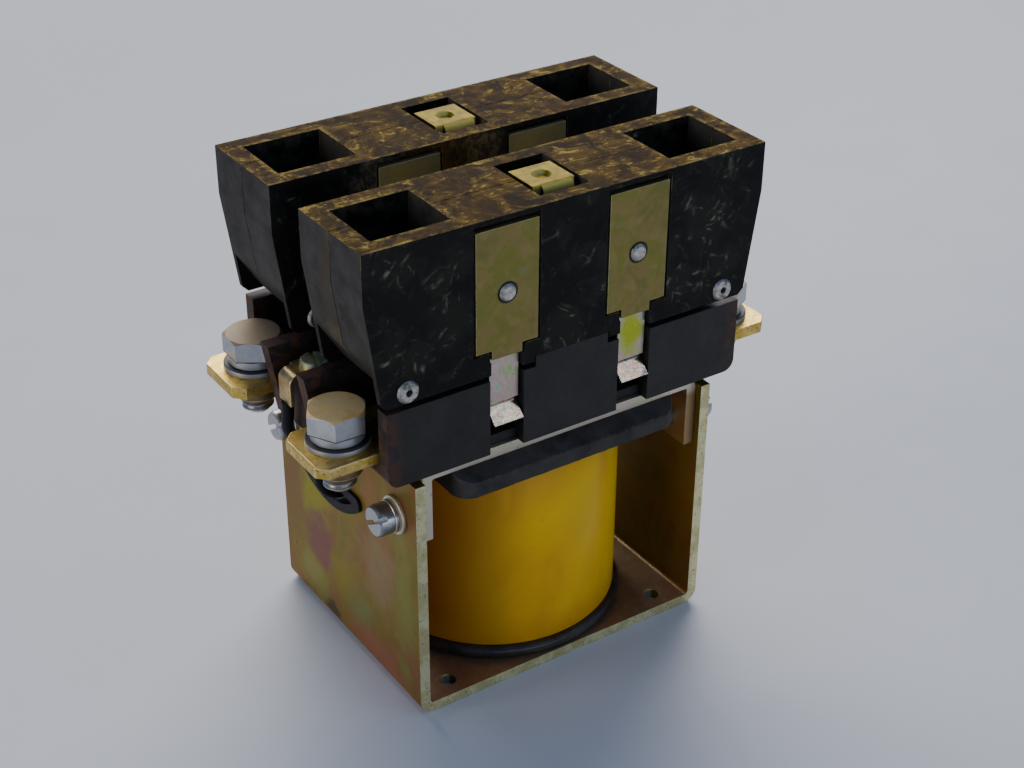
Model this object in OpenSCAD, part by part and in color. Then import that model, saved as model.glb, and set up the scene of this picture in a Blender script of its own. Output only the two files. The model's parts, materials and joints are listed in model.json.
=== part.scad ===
// Double pole contactor for direct current, with a plunger magnet below and two arc chutes above.
// The origin is the middle of the underside of the yoke. X runs along the poles, Z points up.

/* [Yoke and bracket] */
// Width of the yoke over its two walls
yoke_w = 86; // [85.5:0.1:87]
// Depth of the yoke
yoke_d = 68.5; // [68.4:0.1:70]
// Depth of the bracket
bracket_d = 64.4; // [64:0.1:66]
// Height of the yoke walls
yoke_h = 67.3; // [66.8:0.1:67.6]
// Thickness of the sheet steel
sheet_t = 2.8; // [2.7:0.05:2.85]
// Height of the bracket top, on which the poles stand
bracket_top = 69.5; // [69.4:0.1:69.7]
// Distance between the tapped base holes along X
base_hole_x = 64; // [60:1:66]
// Distance between the tapped base holes along Y
base_hole_y = 58; // [54:1:60]
// Diameter of the tapped base holes
base_hole_d = 4.2; // [3.3:0.1:5]

/* [Magnet] */
// Outer diameter of the wound coil
coil_d = 65.2; // [64:0.2:66]
// Diameter of the lower coil flange
coil_flange_d = 68; // [66:0.2:68.2]
// Diameter of the fixed core and of the plunger
plunger_d = 33; // [32:0.1:33.2]
// Stroke of the plunger
stroke = 6; // [5.8:0.1:6]

/* [Poles] */
// Distance of each pole from the middle plane
pole_y = 20.7; // [20.6:0.1:21]
// Length of an arc chute at its top
chute_len = 109.4; // [109:0.1:110]
// Depth of an arc chute
chute_depth = 27.4; // [27.2:0.1:27.4]
// Height of the top of the arc chutes
chute_top = 129.8; // [129.6:0.1:130.5]
// Distance of the pole plates and contacts from the middle
contact_x = 18.1; // [17.8:0.1:18.4]
// Distance of the terminal bolts from the middle
bolt_x = 55; // [54.6:0.1:55.4]
// Distance of the ends of the terminal bars from the middle
bar_end_x = 64.8; // [64.4:0.1:66]

/* [Hidden] */
$fn = 48;

// Finishes
zinc_yellow = [0.62, 0.56, 0.34];
zinc_pale = [0.72, 0.66, 0.56];
zinc_olive = [0.44, 0.42, 0.26];
bright_steel = [0.75, 0.75, 0.76];
spring_steel = [0.72, 0.68, 0.66];
brown_black = [0.15, 0.12, 0.09];
smooth_black = [0.08, 0.08, 0.09];
amber_film = [0.90, 0.58, 0.08];
copper_red = [0.72, 0.45, 0.30];
silver_grey = [0.85, 0.85, 0.84];

// Clearances, and how far a cutting body runs past the face that it cuts
cut = 1;
hole_play = 0.05;
snug = 0.2;
loose = 0.3;

// Yoke
bend_r = 4;
head_gap = 0.1;
side_screw_y = [-25, 25];
side_screw_z = 55.2;
side_screw_r = 2.45;
side_head_r = 4;
side_head_h = 3.9;
side_slot_w = 1.2;
side_slot_turn = 58;
side_ring_r = 4.2;
side_ring_t = 1.3;
side_washer_t = 1;
side_washer_r = 4.9;
side_seat = yoke_w / 2 + side_washer_t + side_ring_t;
spigot_r = 7;

// Lead slot, straight along its top edge and bowed along its bottom edge
slot_y = 8;
slot_low = 40.5;
slot_top = 48.8;
slot_half = 15.6;
slot_bow_r = 23.4;
slot_corner_r = 2;

// Bracket
tube_play = 0.5;
bracket_w = yoke_w - 2 * sheet_t - 2 * head_gap;
bracket_leg_z = 50;
bracket_under = bracket_top - sheet_t;
plunger_hole_r = plunger_d / 2 + snug + tube_play;

// Coil
flange_low_t = 3.2;
coil_bottom = sheet_t + flange_low_t;
coil_top = 60.2;
flange_top_z = bracket_under;
flange_w = 64;
flange_d = 72.6;
flange_front_z = 64.3;
flange_corner_r = 5;
tube_inner_r = plunger_d / 2 + tube_play;
tube_outer_r = tube_inner_r + 1.5;

// Core and plunger
core_top = 32;
cone_h = 6;
cone_r = 9;
core_gap = stroke + 0.3;
plunger_low = core_top - cone_h + core_gap;
plunger_top = bracket_top - 0.3;
spring_bore_r = 7;
spring_bore_depth = 11;
rod_r = 5;
stud_r = 2.95;

// Return spring, in the bores of the core and the plunger
return_z = core_top - cone_h - spring_bore_depth;
return_h = core_gap + 2 * spring_bore_depth;
return_r = 5.4;
return_wire = 1.4;
return_turns = 8;

// Crosshead
crosshead_z = 79;
crosshead_h = 7;
crosshead_w = 16;
nut_h = 5;
nut_across = 10;

// Stirrup, a bent strip that holds one contact spring
strip_t = 1.2;
strip_w = 11.4;
strip_bend = 1.8;
strip_reach = 5;
leg_d = 4.9;
stirrup_low = crosshead_z - strip_t;
stirrup_top = chute_top;
tab_under = stirrup_top - strip_t;
leg_notches = [2.2, 0.8];
leg_notch_z = 6;

// Moving bridge and its tips
bridge_z = crosshead_z + crosshead_h;
bridge_t = 3;
bridge_half = 23.5;
bridge_w = 12;
tip_len = 8;
tip_w = 9;
tip_t = 2.2;

// Contact spring
contact_r = 3.9;
contact_wire = 1.2;
contact_turns = 11;
contact_h = tab_under - bridge_z - bridge_t;
rivet_seat_z = bridge_z - 1;
crosshead_end_y = pole_y + leg_d - snug;

// Terminal bars
bar_z = 74.3;
bar_t = 3;
bar_w = 19;
bar_inner_x = 12.5;
bar_neck_x = 27;
bar_neck_w = 12;
bar_clip = 2.6;
bar_screw_x = 39;
bar_screw_len = 6.5;
fixed_tip_t = 2.4;
bolt_r = 3.95;
bolt_low = 64.9;
flat_washer_r = 7.6;
flat_washer_t = 1.6;
spring_washer_r = 6.4;
spring_washer_t = 2.4;
bolt_head_h = 5.2;
bolt_across = 13;
bolt_turns = [[-1, 31], [28, 20]];
weld_nut_r = 5.6;
weld_nut_h = 5;
sink_r = 4.2;
sink_h = 2;

// Base moulding
moulding_z = bracket_top;
moulding_top = 89.2;
moulding_half = 49.9;
wall_d = 9.8;
face_d = chute_depth / 2;
barrier_top_half = 57.8;
barrier_low_half = 54.4;
floor_z = 72.3;
clip_slot_w = 9.2;
clip_slot_d = 10.4;
clip_sill_z = 82.4;
trough_half = 23.9;
window_x = 9.5;
window_sill_z = 71.5;
tongue_half = 10.2;
tongue_z = 92;
corner_r = 3;
moulding_screw_x = 31;

// Arc chute
chute_low = 90.6;
chute_low_half = 51.2;
chute_knee_z = 117.5;
chute_foot = 1.5;
chute_rim = 0.1;
pocket_d = 9;
pocket_in = 29.7;
pocket_out = 49.7;
chamber_x = 11.2;
nose_r = 9.5;
nose_z = 112;
well_x = 6.8;
well_d = 9.5;
door_z = 101.7;
door_sill_z = 91.5;
door_d = 12.1;
rivet_z = 110.8;
rivet_r = 1.55;
rivet_head_r = 2.3;
eyelet_x = 44.3;
eyelet_z = 93.6;
eyelet_r = 1.95;
eyelet_bore = 0.8;
eyelet_head_r = 2.9;

// Pole plates and spring clips on the chute faces
plate_t = 1.4;
plate_play = 0.55;
plate_low = 96.9;
plate_high = 127.2;
plate_half = 8.35;
neck_half = 4.1;
neck_low = 94.5;
clip_t = 0.8;
clip_w = 8;
clip_mid = face_d - plate_t - clip_t / 2;
clip_top = 114;
clip_recess = face_d - plate_t - clip_t - hole_play;
clip_path = [
    [clip_mid, clip_top], [clip_mid, 82.3], [clip_mid - 1.2, 80.6], [clip_mid + 2.6, 77.2]
];

// Coil terminals between the poles
block_in_x = 34;
block_out_x = 54;
block_half = 6.2;
block_top = 84.6;
tab_t = 1.2;
tab_half = 4;
tab_in_x = 45.2;
tab_out_x = 57.6;
tab_leg_half = 2.9;
tab_leg_z = 77.8;
tab_bend = 2.4;
tab_screw_x = 49.5;
tab_screw_r = 2;
tab_head_r = 3.4;
tab_head_h = 1.6;
tab_slot_w = 1;
tab_slot_turn = 75;
tab_screw_len = 8;

// Route of the left coil lead, from the coil through the wall to its tab
lead_d = 3;
lead_sides = 8;
lead_route = [
    [-31.9, 4, 44.7], [-36, 4, 44.7], [-40, 4, 44.7], [-43.2, 4, 45], [-45.4, 4, 46], [-47, 4, 47.9],
    [-47.8, 4, 50.4], [-48, 3.9, 53.8], [-48.4, 3.8, 57.6], [-49.5, 3.5, 61.1], [-51.7, 3, 63.7],
    [-54.4, 2.4, 65.9], [-56.4, 1.6, 69], [-57, 0.6, 72.4], [-57, 0, 75.2], [-57, 0, 77.8]
];

// Shared shapes

module rounded_plate(size, r, h) {
    linear_extrude(h) {
        square([size[0] - 2 * r, size[1]], center = true);
        square([size[0], size[1] - 2 * r], center = true);
        for (sx = [-1, 1], sy = [-1, 1]) {
            translate([sx * (size[0] / 2 - r), sy * (size[1] / 2 - r)]) circle(r);
        }
    }
}

// A trough outline with round lower corners, standing on its bottom edge
module trough(w, h, r) {
    translate([-w / 2, r]) square([w, h - r]);
    translate([-w / 2 + r, 0]) square([w - 2 * r, h]);
    for (s = [-1, 1]) {
        translate([s * (w / 2 - r), r]) circle(r);
    }
}

// Sweeps an outline in X and Z through the depths d0 to d1 along Y
module across(d0, d1) {
    translate([0, d1, 0]) rotate([90, 0, 0]) linear_extrude(d1 - d0) children();
}

// Sweeps an outline in Y and Z from x0 to x1
module along(x0, x1) {
    translate([x0, 0, 0]) rotate([90, 0, 90]) linear_extrude(x1 - x0) children();
}

// Puts a piece that faces +Y on a pole, turned to the side that it belongs to
module seat(pole, side) {
    translate([0, pole * pole_y, 0]) mirror([0, side < 0 ? 1 : 0, 0]) children();
}

// Puts a piece of the right end at the left end as well or instead
module at_end(side) {
    mirror([side < 0 ? 1 : 0, 0, 0]) children();
}

module slotted_head(r, h, slot) {
    difference() {
        union() {
            cylinder(r = r, h = h * 0.75);
            translate([0, 0, h * 0.75]) cylinder(r1 = r, r2 = r * 0.88, h = h * 0.25);
        }
        translate([-r - cut, -slot / 2, h * 0.5]) cube([2 * r + 2 * cut, slot, h]);
    }
}

module split_ring(r_out, r_in, h) {
    gap = 0.9;
    difference() {
        cylinder(r = r_out, h = h);
        translate([0, 0, -cut]) cylinder(r = r_in, h = h + 2 * cut);
        translate([0, -gap / 2, -cut]) cube([r_out + cut, gap, h + 2 * cut]);
    }
}

// A strip of even thickness along a path of points in a plane
function turned(v) = [-v[1], v[0]] / norm(v);
function edge_normal(p, i) = turned(p[i + 1] - p[i]);
function miter(p, i) =
    i == 0 ? edge_normal(p, 0)
    : i == len(p) - 1 ? edge_normal(p, i - 1)
    : let (a = edge_normal(p, i - 1), b = edge_normal(p, i)) (a + b) / (1 + a * b);
function strip_outline(p, t) = concat(
    [for (i = [0 : len(p) - 1]) p[i] + miter(p, i) * t / 2],
    [for (i = [len(p) - 1 : -1 : 0]) p[i] - miter(p, i) * t / 2]
);

// A round tube along a path, with one ring of points at each point of the path
function unit(v) = v / norm(v);
function heading(p, i) =
    i == 0 ? unit(p[1] - p[0])
    : i == len(p) - 1 ? unit(p[i] - p[i - 1])
    : unit(unit(p[i + 1] - p[i]) + unit(p[i] - p[i - 1]));
function carried(p, i, u) =
    i == len(p) ? []
    : let (t = heading(p, i), w = unit(u - (u * t) * t)) concat([w], carried(p, i + 1, w));
function start_side(p) =
    let (t = heading(p, 0)) abs(t[2]) < 0.9 ? unit(cross(t, [0, 0, 1])) : unit(cross(t, [0, 1, 0]));

module tube(path, r, sides) {
    side_dirs = carried(path, 0, start_side(path));
    n = len(path);
    points = [
        for (i = [0 : n - 1], k = [0 : sides - 1])
            let (u = side_dirs[i], v = cross(heading(path, i), u), a = 360 * k / sides)
                path[i] + r * (cos(a) * u + sin(a) * v)
    ];
    walls = [
        for (i = [0 : n - 2], k = [0 : sides - 1], half = [0, 1])
            let (a = i * sides + k, b = i * sides + (k + 1) % sides)
                half == 0 ? [a, b + sides, b] : [a, a + sides, b + sides]
    ];
    low_cap = [for (k = [1 : sides - 2]) [0, k, k + 1]];
    high_cap = [for (k = [1 : sides - 2]) [(n - 1) * sides, (n - 1) * sides + k + 1, (n - 1) * sides + k]];
    polyhedron(points, concat(walls, low_cap, high_cap));
}

// A wound spring whose two ends stand straight on their seats
rings_per_turn = 8;
function spring_path(r, h, turns, wire) =
    let (steps = turns * rings_per_turn, rise = h - 2 * wire) concat(
        [[r, 0, 0]],
        [
            for (i = [0 : steps])
                let (a = 360 * i / rings_per_turn) [r * cos(a), r * sin(a), wire + rise * i / steps]
        ],
        [[r, 0, h]]
    );
function least_gap(p, wire) = min([
    for (i = [0 : len(p) - 6], j = [i + 5 : len(p) - 1]) norm(p[i] - p[j]) - wire
]);
return_path = spring_path(return_r, return_h, return_turns, return_wire);
contact_path = spring_path(contact_r, contact_h, contact_turns, contact_wire);
echo(return_spring_least_gap = least_gap(return_path, return_wire));
echo(contact_spring_least_gap = least_gap(contact_path, contact_wire));

// Yoke and bracket

module wall_bores(r, y_list, z, reach) {
    for (y = y_list) {
        translate([-reach, y, z]) rotate([0, 90, 0]) cylinder(r = r, h = 2 * reach);
    }
}

// The outline of the lead slot in Y and Z, wider or narrower by the given margin
module slot_outline(margin) {
    r = slot_corner_r;
    half = slot_half + margin;
    low = slot_low - margin;
    high = slot_top + margin;
    intersection() {
        translate([slot_y, slot_low + slot_bow_r]) circle(slot_bow_r + margin, $fn = 96);
        union() {
            translate([slot_y - half, low]) square([2 * half, high - low - r]);
            translate([slot_y - half + r, low]) square([2 * half - 2 * r, high - low]);
            for (s = [-1, 1]) {
                translate([slot_y + s * (half - r), high - r]) circle(r);
            }
        }
    }
}

module yoke_frame() {
    color(zinc_yellow) difference() {
        across(-yoke_d / 2, yoke_d / 2) difference() {
            trough(yoke_w, yoke_h, bend_r);
            translate([0, sheet_t]) trough(yoke_w - 2 * sheet_t, yoke_h, bend_r - sheet_t);
        }
        for (sx = [-1, 1], sy = [-1, 1]) {
            translate([sx * base_hole_x / 2, sy * base_hole_y / 2, -cut])
                cylinder(d = base_hole_d, h = sheet_t + 2 * cut);
        }
        translate([0, 0, -cut]) cylinder(r = spigot_r, h = sheet_t + 2 * cut);
        wall_bores(side_screw_r + loose, side_screw_y, side_screw_z, yoke_w);
        along(-yoke_w, yoke_w) slot_outline(0);
    }
}

module top_bracket() {
    bend = 3.4;
    leg = bracket_top - bracket_leg_z;
    color(zinc_pale) difference() {
        translate([0, 0, bracket_top]) mirror([0, 0, 1])
            across(-bracket_d / 2, bracket_d / 2) difference() {
                trough(bracket_w, leg, bend);
                translate([0, sheet_t]) trough(bracket_w - 2 * sheet_t, leg, bend - sheet_t);
            }
        translate([0, 0, bracket_under - cut]) cylinder(r = plunger_hole_r, h = sheet_t + 2 * cut);
        for (sx = [-1, 1], sy = [-1, 1]) {
            translate([sx * moulding_screw_x, sy * pole_y, bracket_under - cut])
                cylinder(r = tab_screw_r + hole_play, h = sheet_t + 2 * cut);
        }
        wall_bores(side_screw_r + hole_play, side_screw_y, side_screw_z, yoke_w);
    }
}

module on_walls(x) {
    for (s = [-1, 1], y = side_screw_y) {
        at_end(s) translate([x, y, side_screw_z]) rotate([0, 90, 0]) children();
    }
}

module side_screws() {
    past_bracket = 2.4;
    shank = side_seat - bracket_w / 2 + sheet_t + past_bracket;
    color(bright_steel) on_walls(side_seat) {
        rotate([0, 0, side_slot_turn]) slotted_head(side_head_r, side_head_h, side_slot_w);
        mirror([0, 0, 1]) cylinder(r = side_screw_r, h = shank);
    }
}

module side_spring_washers() {
    color(bright_steel) on_walls(yoke_w / 2 + side_washer_t)
        split_ring(side_ring_r, side_screw_r + hole_play, side_ring_t);
}

module side_flat_washers() {
    color(zinc_yellow) on_walls(yoke_w / 2) difference() {
        cylinder(r = side_washer_r, h = side_washer_t);
        translate([0, 0, -cut]) cylinder(r = side_screw_r + hole_play, h = side_washer_t + 2 * cut);
    }
}

// Magnet

module fixed_core() {
    color(bright_steel) difference() {
        rotate_extrude($fn = 72) polygon([
            [0, 0], [spigot_r - hole_play, 0], [spigot_r - hole_play, sheet_t], [plunger_d / 2, sheet_t],
            [plunger_d / 2, core_top], [cone_r, core_top - cone_h], [0, core_top - cone_h]
        ]);
        translate([0, 0, return_z]) cylinder(r = spring_bore_r, h = core_top);
    }
}

module plunger() {
    rim = 1;
    stud_chamfer = 0.6;
    stud_top = bridge_z + nut_h + 1.8;
    color(bright_steel) difference() {
        rotate_extrude($fn = 72) polygon([
            [0, plunger_low], [cone_r, plunger_low], [plunger_d / 2, plunger_low + cone_h],
            [plunger_d / 2, plunger_top - rim], [plunger_d / 2 - rim, plunger_top], [rod_r, plunger_top],
            [rod_r, crosshead_z], [stud_r, crosshead_z], [stud_r, stud_top - stud_chamfer],
            [stud_r - stud_chamfer, stud_top], [0, stud_top]
        ]);
        translate([0, 0, plunger_low - cut]) cylinder(r = spring_bore_r, h = spring_bore_depth + cut);
    }
}

module return_spring() {
    color(spring_steel) translate([0, 0, return_z]) tube(return_path, return_wire / 2, 6);
}

module coil_bobbin() {
    edge = 1.4;
    color(smooth_black) difference() {
        union() {
            rotate_extrude($fn = 96) {
                translate([0, sheet_t]) square([coil_flange_d / 2 - edge, flange_low_t]);
                translate([0, sheet_t + edge]) square([coil_flange_d / 2, flange_low_t - 2 * edge]);
                translate([coil_flange_d / 2 - edge, sheet_t + edge]) circle(edge);
                translate([coil_flange_d / 2 - edge, coil_bottom - edge]) circle(edge);
            }
            translate([0, 0, coil_bottom]) cylinder(r = tube_outer_r, h = coil_top - coil_bottom, $fn = 72);
            translate([0, 0, coil_top])
                rounded_plate([flange_w, flange_d], flange_corner_r, flange_top_z - coil_top);
        }
        translate([0, 0, sheet_t - cut]) cylinder(r = tube_inner_r, h = flange_top_z, $fn = 72);
        for (side = [0, 1]) {
            mirror([0, side, 0]) along(-flange_w, flange_w) polygon([
                [bracket_d / 2, flange_top_z], [flange_d / 2, flange_front_z],
                [flange_d / 2 + cut, flange_front_z], [flange_d / 2 + cut, flange_top_z + cut],
                [bracket_d / 2, flange_top_z + cut]
            ]);
        }
    }
}

module coil_winding() {
    color(amber_film) difference() {
        translate([0, 0, coil_bottom]) cylinder(d = coil_d, h = coil_top - coil_bottom, $fn = 96);
        translate([0, 0, coil_bottom - cut]) cylinder(r = tube_outer_r, h = coil_top, $fn = 72);
    }
}

// Rubber rings that line the lead slots, with a lip on each side of the wall
module wall_grommets() {
    lip = 0.6;
    lip_t = 0.9;
    rim = 2;
    outside = yoke_w / 2;
    inside = yoke_w / 2 - sheet_t;
    color(smooth_black) for (s = [-1, 1]) {
        at_end(s) difference() {
            union() {
                along(outside, outside + lip_t) slot_outline(lip);
                along(inside, outside) slot_outline(-hole_play);
                along(inside - lip_t, inside) slot_outline(lip);
            }
            along(inside - lip_t - cut, outside + lip_t + cut) slot_outline(-rim);
        }
    }
}

module coil_lead_left() {
    color(smooth_black) tube(lead_route, lead_d / 2, lead_sides);
}

module coil_lead_right() {
    color(smooth_black) mirror([1, 0, 0]) tube(lead_route, lead_d / 2, lead_sides);
}

// Moving contact carriage

module crosshead() {
    chamfer = 1.5;
    half = crosshead_w / 2;
    bend = strip_bend - strip_t;
    slot_wide = strip_w + 2 * loose;
    color(brown_black) difference() {
        across(-crosshead_end_y, crosshead_end_y) polygon([
            [-half, crosshead_z], [half, crosshead_z], [half, bridge_z - chamfer],
            [half - chamfer, bridge_z], [chamfer - half, bridge_z], [-half, bridge_z - chamfer]
        ]);
        translate([0, 0, crosshead_z - cut]) cylinder(r = stud_r + hole_play, h = crosshead_h + 2 * cut);
        translate([-slot_wide / 2, pole_y - leg_d - strip_t - snug, crosshead_z - cut])
            cube([slot_wide, strip_t + 2 * snug, crosshead_h + 2 * cut]);
        for (s = [-1, 1]) {
            translate([-slot_wide / 2, s * pole_y - leg_d - snug, crosshead_z - cut])
                cube([slot_wide, bend + 2 * snug, bend + snug + cut]);
            translate([0, s * pole_y, crosshead_z - cut])
                cylinder(r = rivet_r + hole_play, h = crosshead_h + 2 * cut);
            translate([0, s * pole_y, rivet_seat_z])
                cylinder(r = rivet_head_r + snug, h = bridge_z - rivet_seat_z + cut);
        }
    }
}

// A hexagon whose upper corners are turned off
module hex_head(across_flats, h) {
    chamfer_slope = 30;
    land_r = across_flats / 2;
    intersection() {
        cylinder(d = across_flats / cos(30), h = h, $fn = 6);
        cylinder(r1 = land_r + h / tan(chamfer_slope), r2 = land_r, h = h);
    }
}

module crosshead_nut() {
    color(bright_steel) translate([0, 0, bridge_z]) difference() {
        hex_head(nut_across, nut_h);
        translate([0, 0, -cut]) cylinder(r = stud_r + hole_play, h = nut_h + 2 * cut);
    }
}

// The strip's outline in Y and Z: a foot under the crosshead, a leg in front and a tab on top
module stirrup_outline() {
    low = stirrup_low;
    high = stirrup_top;
    front = -leg_d - strip_t;
    inner = strip_bend - strip_t;
    difference() {
        union() {
            translate([front + strip_bend, low]) square([strip_reach - front - strip_bend, high - low]);
            translate([front, low + strip_bend]) square([strip_bend, high - low - 2 * strip_bend]);
            translate([front + strip_bend, low + strip_bend]) circle(strip_bend);
            translate([front + strip_bend, high - strip_bend]) circle(strip_bend);
        }
        translate([-leg_d + inner, low + strip_t])
            square([2 * strip_reach + leg_d, high - low - 2 * strip_t]);
        translate([-leg_d, low + strip_bend]) square([inner + cut, high - low - 2 * strip_bend]);
        translate([-leg_d + inner, low + strip_t + inner]) circle(inner);
        translate([-leg_d + inner, high - strip_t - inner]) circle(inner);
    }
}

module stirrup(pole) {
    dimple_r = 2.9;
    dimple_deep = 1;
    leg_h = stirrup_top - stirrup_low - leg_notch_z;
    color(zinc_yellow) translate([0, pole * pole_y, 0]) difference() {
        union() {
            along(-strip_w / 2, strip_w / 2) stirrup_outline();
            translate([0, 0, tab_under - dimple_deep])
                cylinder(r = dimple_r, h = dimple_deep + strip_t / 2);
        }
        translate([0, 0, stirrup_top - dimple_deep])
            cylinder(r1 = dimple_r / 2, r2 = dimple_r - dimple_deep / 2, h = dimple_deep + hole_play);
        translate([0, 0, stirrup_low - cut]) cylinder(r = rivet_r + hole_play, h = strip_t + 2 * cut);
        for (s = [0, 1]) {
            mirror([s, 0, 0]) translate([-strip_w / 2 - cut, -leg_d - strip_bend, stirrup_low + leg_notch_z])
                cube([leg_notches[s] + cut, strip_bend, leg_h + cut]);
        }
    }
}

module front_stirrup() {
    stirrup(-1);
}

module rear_stirrup() {
    stirrup(1);
}

module stirrup_rivets() {
    head = 0.8;
    color(bright_steel) for (s = [-1, 1]) {
        translate([0, s * pole_y, 0]) {
            translate([0, 0, stirrup_low]) cylinder(r = rivet_r, h = rivet_seat_z - stirrup_low + head);
            translate([0, 0, stirrup_low - head]) cylinder(r1 = rivet_r, r2 = rivet_head_r, h = head);
            translate([0, 0, rivet_seat_z]) cylinder(r = rivet_head_r, h = head);
        }
    }
}

module contact_spring(pole) {
    color(spring_steel) translate([0, pole * pole_y, bridge_z + bridge_t])
        tube(contact_path, contact_wire / 2, 6);
}

module front_contact_spring() {
    contact_spring(-1);
}

module rear_contact_spring() {
    contact_spring(1);
}

// The bridge is a bar whose ends turn up as arc horns, with a notch in front for the stirrup's leg
module bridge(pole) {
    horn = 2.6;
    mid = bridge_z + bridge_t / 2;
    notch_half = strip_w / 2 + loose;
    color(copper_red) translate([0, pole * pole_y, 0]) difference() {
        across(-bridge_w / 2, bridge_w / 2) polygon(
            strip_outline(
                [
                    [-bridge_half - horn, mid + horn], [-bridge_half, mid],
                    [bridge_half, mid], [bridge_half + horn, mid + horn]
                ],
                bridge_t
            )
        );
        translate([-notch_half, -bridge_w, bridge_z - cut])
            cube([2 * notch_half, bridge_w - leg_d + snug, bridge_t + 2 * cut]);
    }
}

module front_bridge() {
    bridge(-1);
}

module rear_bridge() {
    bridge(1);
}

module contact_tip(z, t) {
    translate([contact_x - tip_len / 2, -tip_w / 2, z]) cube([tip_len, tip_w, t]);
}

module bridge_tips(pole) {
    color(silver_grey) translate([0, pole * pole_y, 0]) for (s = [-1, 1]) {
        at_end(s) contact_tip(bridge_z - tip_t, tip_t);
    }
}

module front_bridge_tips() {
    bridge_tips(-1);
}

module rear_bridge_tips() {
    bridge_tips(1);
}

// Pole bases

module clip_slots(d0, d1, z0, z1) {
    for (s = [-1, 1]) {
        translate([s * contact_x - clip_slot_w / 2, d0, z0]) cube([clip_slot_w, d1 - d0, z1 - z0]);
    }
}

// The countersink for a screw head that lies flush with the plane Z = 0
module screw_sink() {
    translate([0, 0, -sink_h]) cylinder(r1 = tab_screw_r + snug, r2 = sink_r, h = sink_h);
    cylinder(r = sink_r, h = cut / 2);
}

// A trough open at both ends for the terminal bars. Its outer wall faces +Y, and its inner wall runs on
// past the trough as a barrier between the poles.
module base_moulding(pole) {
    top = moulding_top - moulding_z;
    color(smooth_black) seat(pole, pole) difference() {
        union() {
            translate([0, 0, moulding_z]) across(-face_d, face_d) trough(2 * moulding_half, top, corner_r);
            translate([-tongue_half, wall_d, moulding_z])
                cube([2 * tongue_half, face_d - wall_d, tongue_z - moulding_z]);
            across(-face_d, -wall_d) polygon([
                [-barrier_low_half, moulding_z], [barrier_low_half, moulding_z],
                [barrier_top_half, moulding_top], [-barrier_top_half, moulding_top]
            ]);
        }
        translate([-moulding_half - cut, -wall_d, bar_z])
            cube([2 * moulding_half + 2 * cut, 2 * wall_d, tongue_z]);
        translate([-trough_half, -wall_d, floor_z]) cube([2 * trough_half, 2 * wall_d, tongue_z]);
        translate([-window_x, -wall_d, moulding_z - cut]) cube([2 * window_x, 2 * wall_d, tongue_z]);
        translate([-window_x, -face_d - cut, window_sill_z]) cube([2 * window_x, face_d, tongue_z]);
        clip_slots(clip_slot_d, face_d + cut, moulding_z - cut, tongue_z + cut);
        clip_slots(wall_d - cut, face_d + cut, floor_z, clip_sill_z);
        clip_slots(-face_d - cut, -clip_slot_d, moulding_z - cut, tongue_z + cut);
        clip_slots(-face_d - cut, cut - wall_d, floor_z, clip_sill_z);
        for (s = [-1, 1]) {
            translate([s * moulding_screw_x, 0, moulding_z - cut])
                cylinder(r = tab_screw_r + snug, h = top);
            translate([s * moulding_screw_x, 0, bar_z]) screw_sink();
            translate([s * bar_screw_x, 0, moulding_z + cut])
                cylinder(r = tab_screw_r + hole_play, h = top);
            translate([s * bolt_x, 0, moulding_z - cut])
                cylinder(r = weld_nut_r + loose, h = bar_z - moulding_z + 2 * cut);
        }
    }
}

module front_base_moulding() {
    base_moulding(-1);
}

module rear_base_moulding() {
    base_moulding(1);
}

module countersunk_screw(len) {
    head_r = sink_r - snug;
    slot = 1;
    difference() {
        union() {
            translate([0, 0, -len]) cylinder(r = tab_screw_r, h = len);
            translate([0, 0, -sink_h]) cylinder(r1 = tab_screw_r, r2 = head_r, h = sink_h);
        }
        translate([-head_r - cut, -slot / 2, -sink_h * 0.4]) cube([2 * head_r + 2 * cut, slot, sink_h]);
    }
}

module moulding_screws() {
    color(bright_steel) for (sx = [-1, 1], sy = [-1, 1]) {
        translate([sx * moulding_screw_x, sy * pole_y, bar_z])
            countersunk_screw(bar_z - bracket_under);
    }
}

// Terminals

module terminal_bar(end, pole) {
    low = bar_w / 2 - bar_clip;
    color(zinc_yellow) at_end(end) translate([0, pole * pole_y, bar_z]) difference() {
        linear_extrude(bar_t) polygon([
            [bar_inner_x, -bar_neck_w / 2], [bar_neck_x, -bar_neck_w / 2], [bar_neck_x + 3, -bar_w / 2],
            [bar_end_x - bar_clip, -bar_w / 2], [bar_end_x, -low], [bar_end_x, low],
            [bar_end_x - bar_clip, bar_w / 2], [bar_neck_x + 3, bar_w / 2], [bar_neck_x, bar_neck_w / 2],
            [bar_inner_x, bar_neck_w / 2]
        ]);
        translate([bolt_x, 0, -cut]) cylinder(r = bolt_r + snug, h = bar_t + 2 * cut);
        translate([bar_screw_x, 0, -cut]) cylinder(r = tab_screw_r + snug, h = bar_t + 2 * cut);
        translate([bar_screw_x, 0, bar_t]) screw_sink();
    }
}

module front_left_terminal() {
    terminal_bar(-1, -1);
}

module front_right_terminal() {
    terminal_bar(1, -1);
}

module rear_left_terminal() {
    terminal_bar(-1, 1);
}

module rear_right_terminal() {
    terminal_bar(1, 1);
}

module at_terminals(x, z) {
    for (end = [-1, 1], pole = [-1, 1]) {
        translate([end * x, pole * pole_y, z]) children();
    }
}

module fixed_contact_tips() {
    color(silver_grey) for (end = [-1, 1], pole = [-1, 1]) {
        translate([0, pole * pole_y, 0]) at_end(end) contact_tip(bar_z + bar_t, fixed_tip_t);
    }
}

module terminal_fixing_screws() {
    color(bright_steel) at_terminals(bar_screw_x, bar_z + bar_t) countersunk_screw(bar_screw_len);
}

module hex_bolt(across_flats, head_h, r, len) {
    point = 1;
    hex_head(across_flats, head_h);
    translate([0, 0, point - len]) cylinder(r = r, h = len - point);
    translate([0, 0, -len]) cylinder(r1 = r - point, r2 = r, h = point);
}

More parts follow.
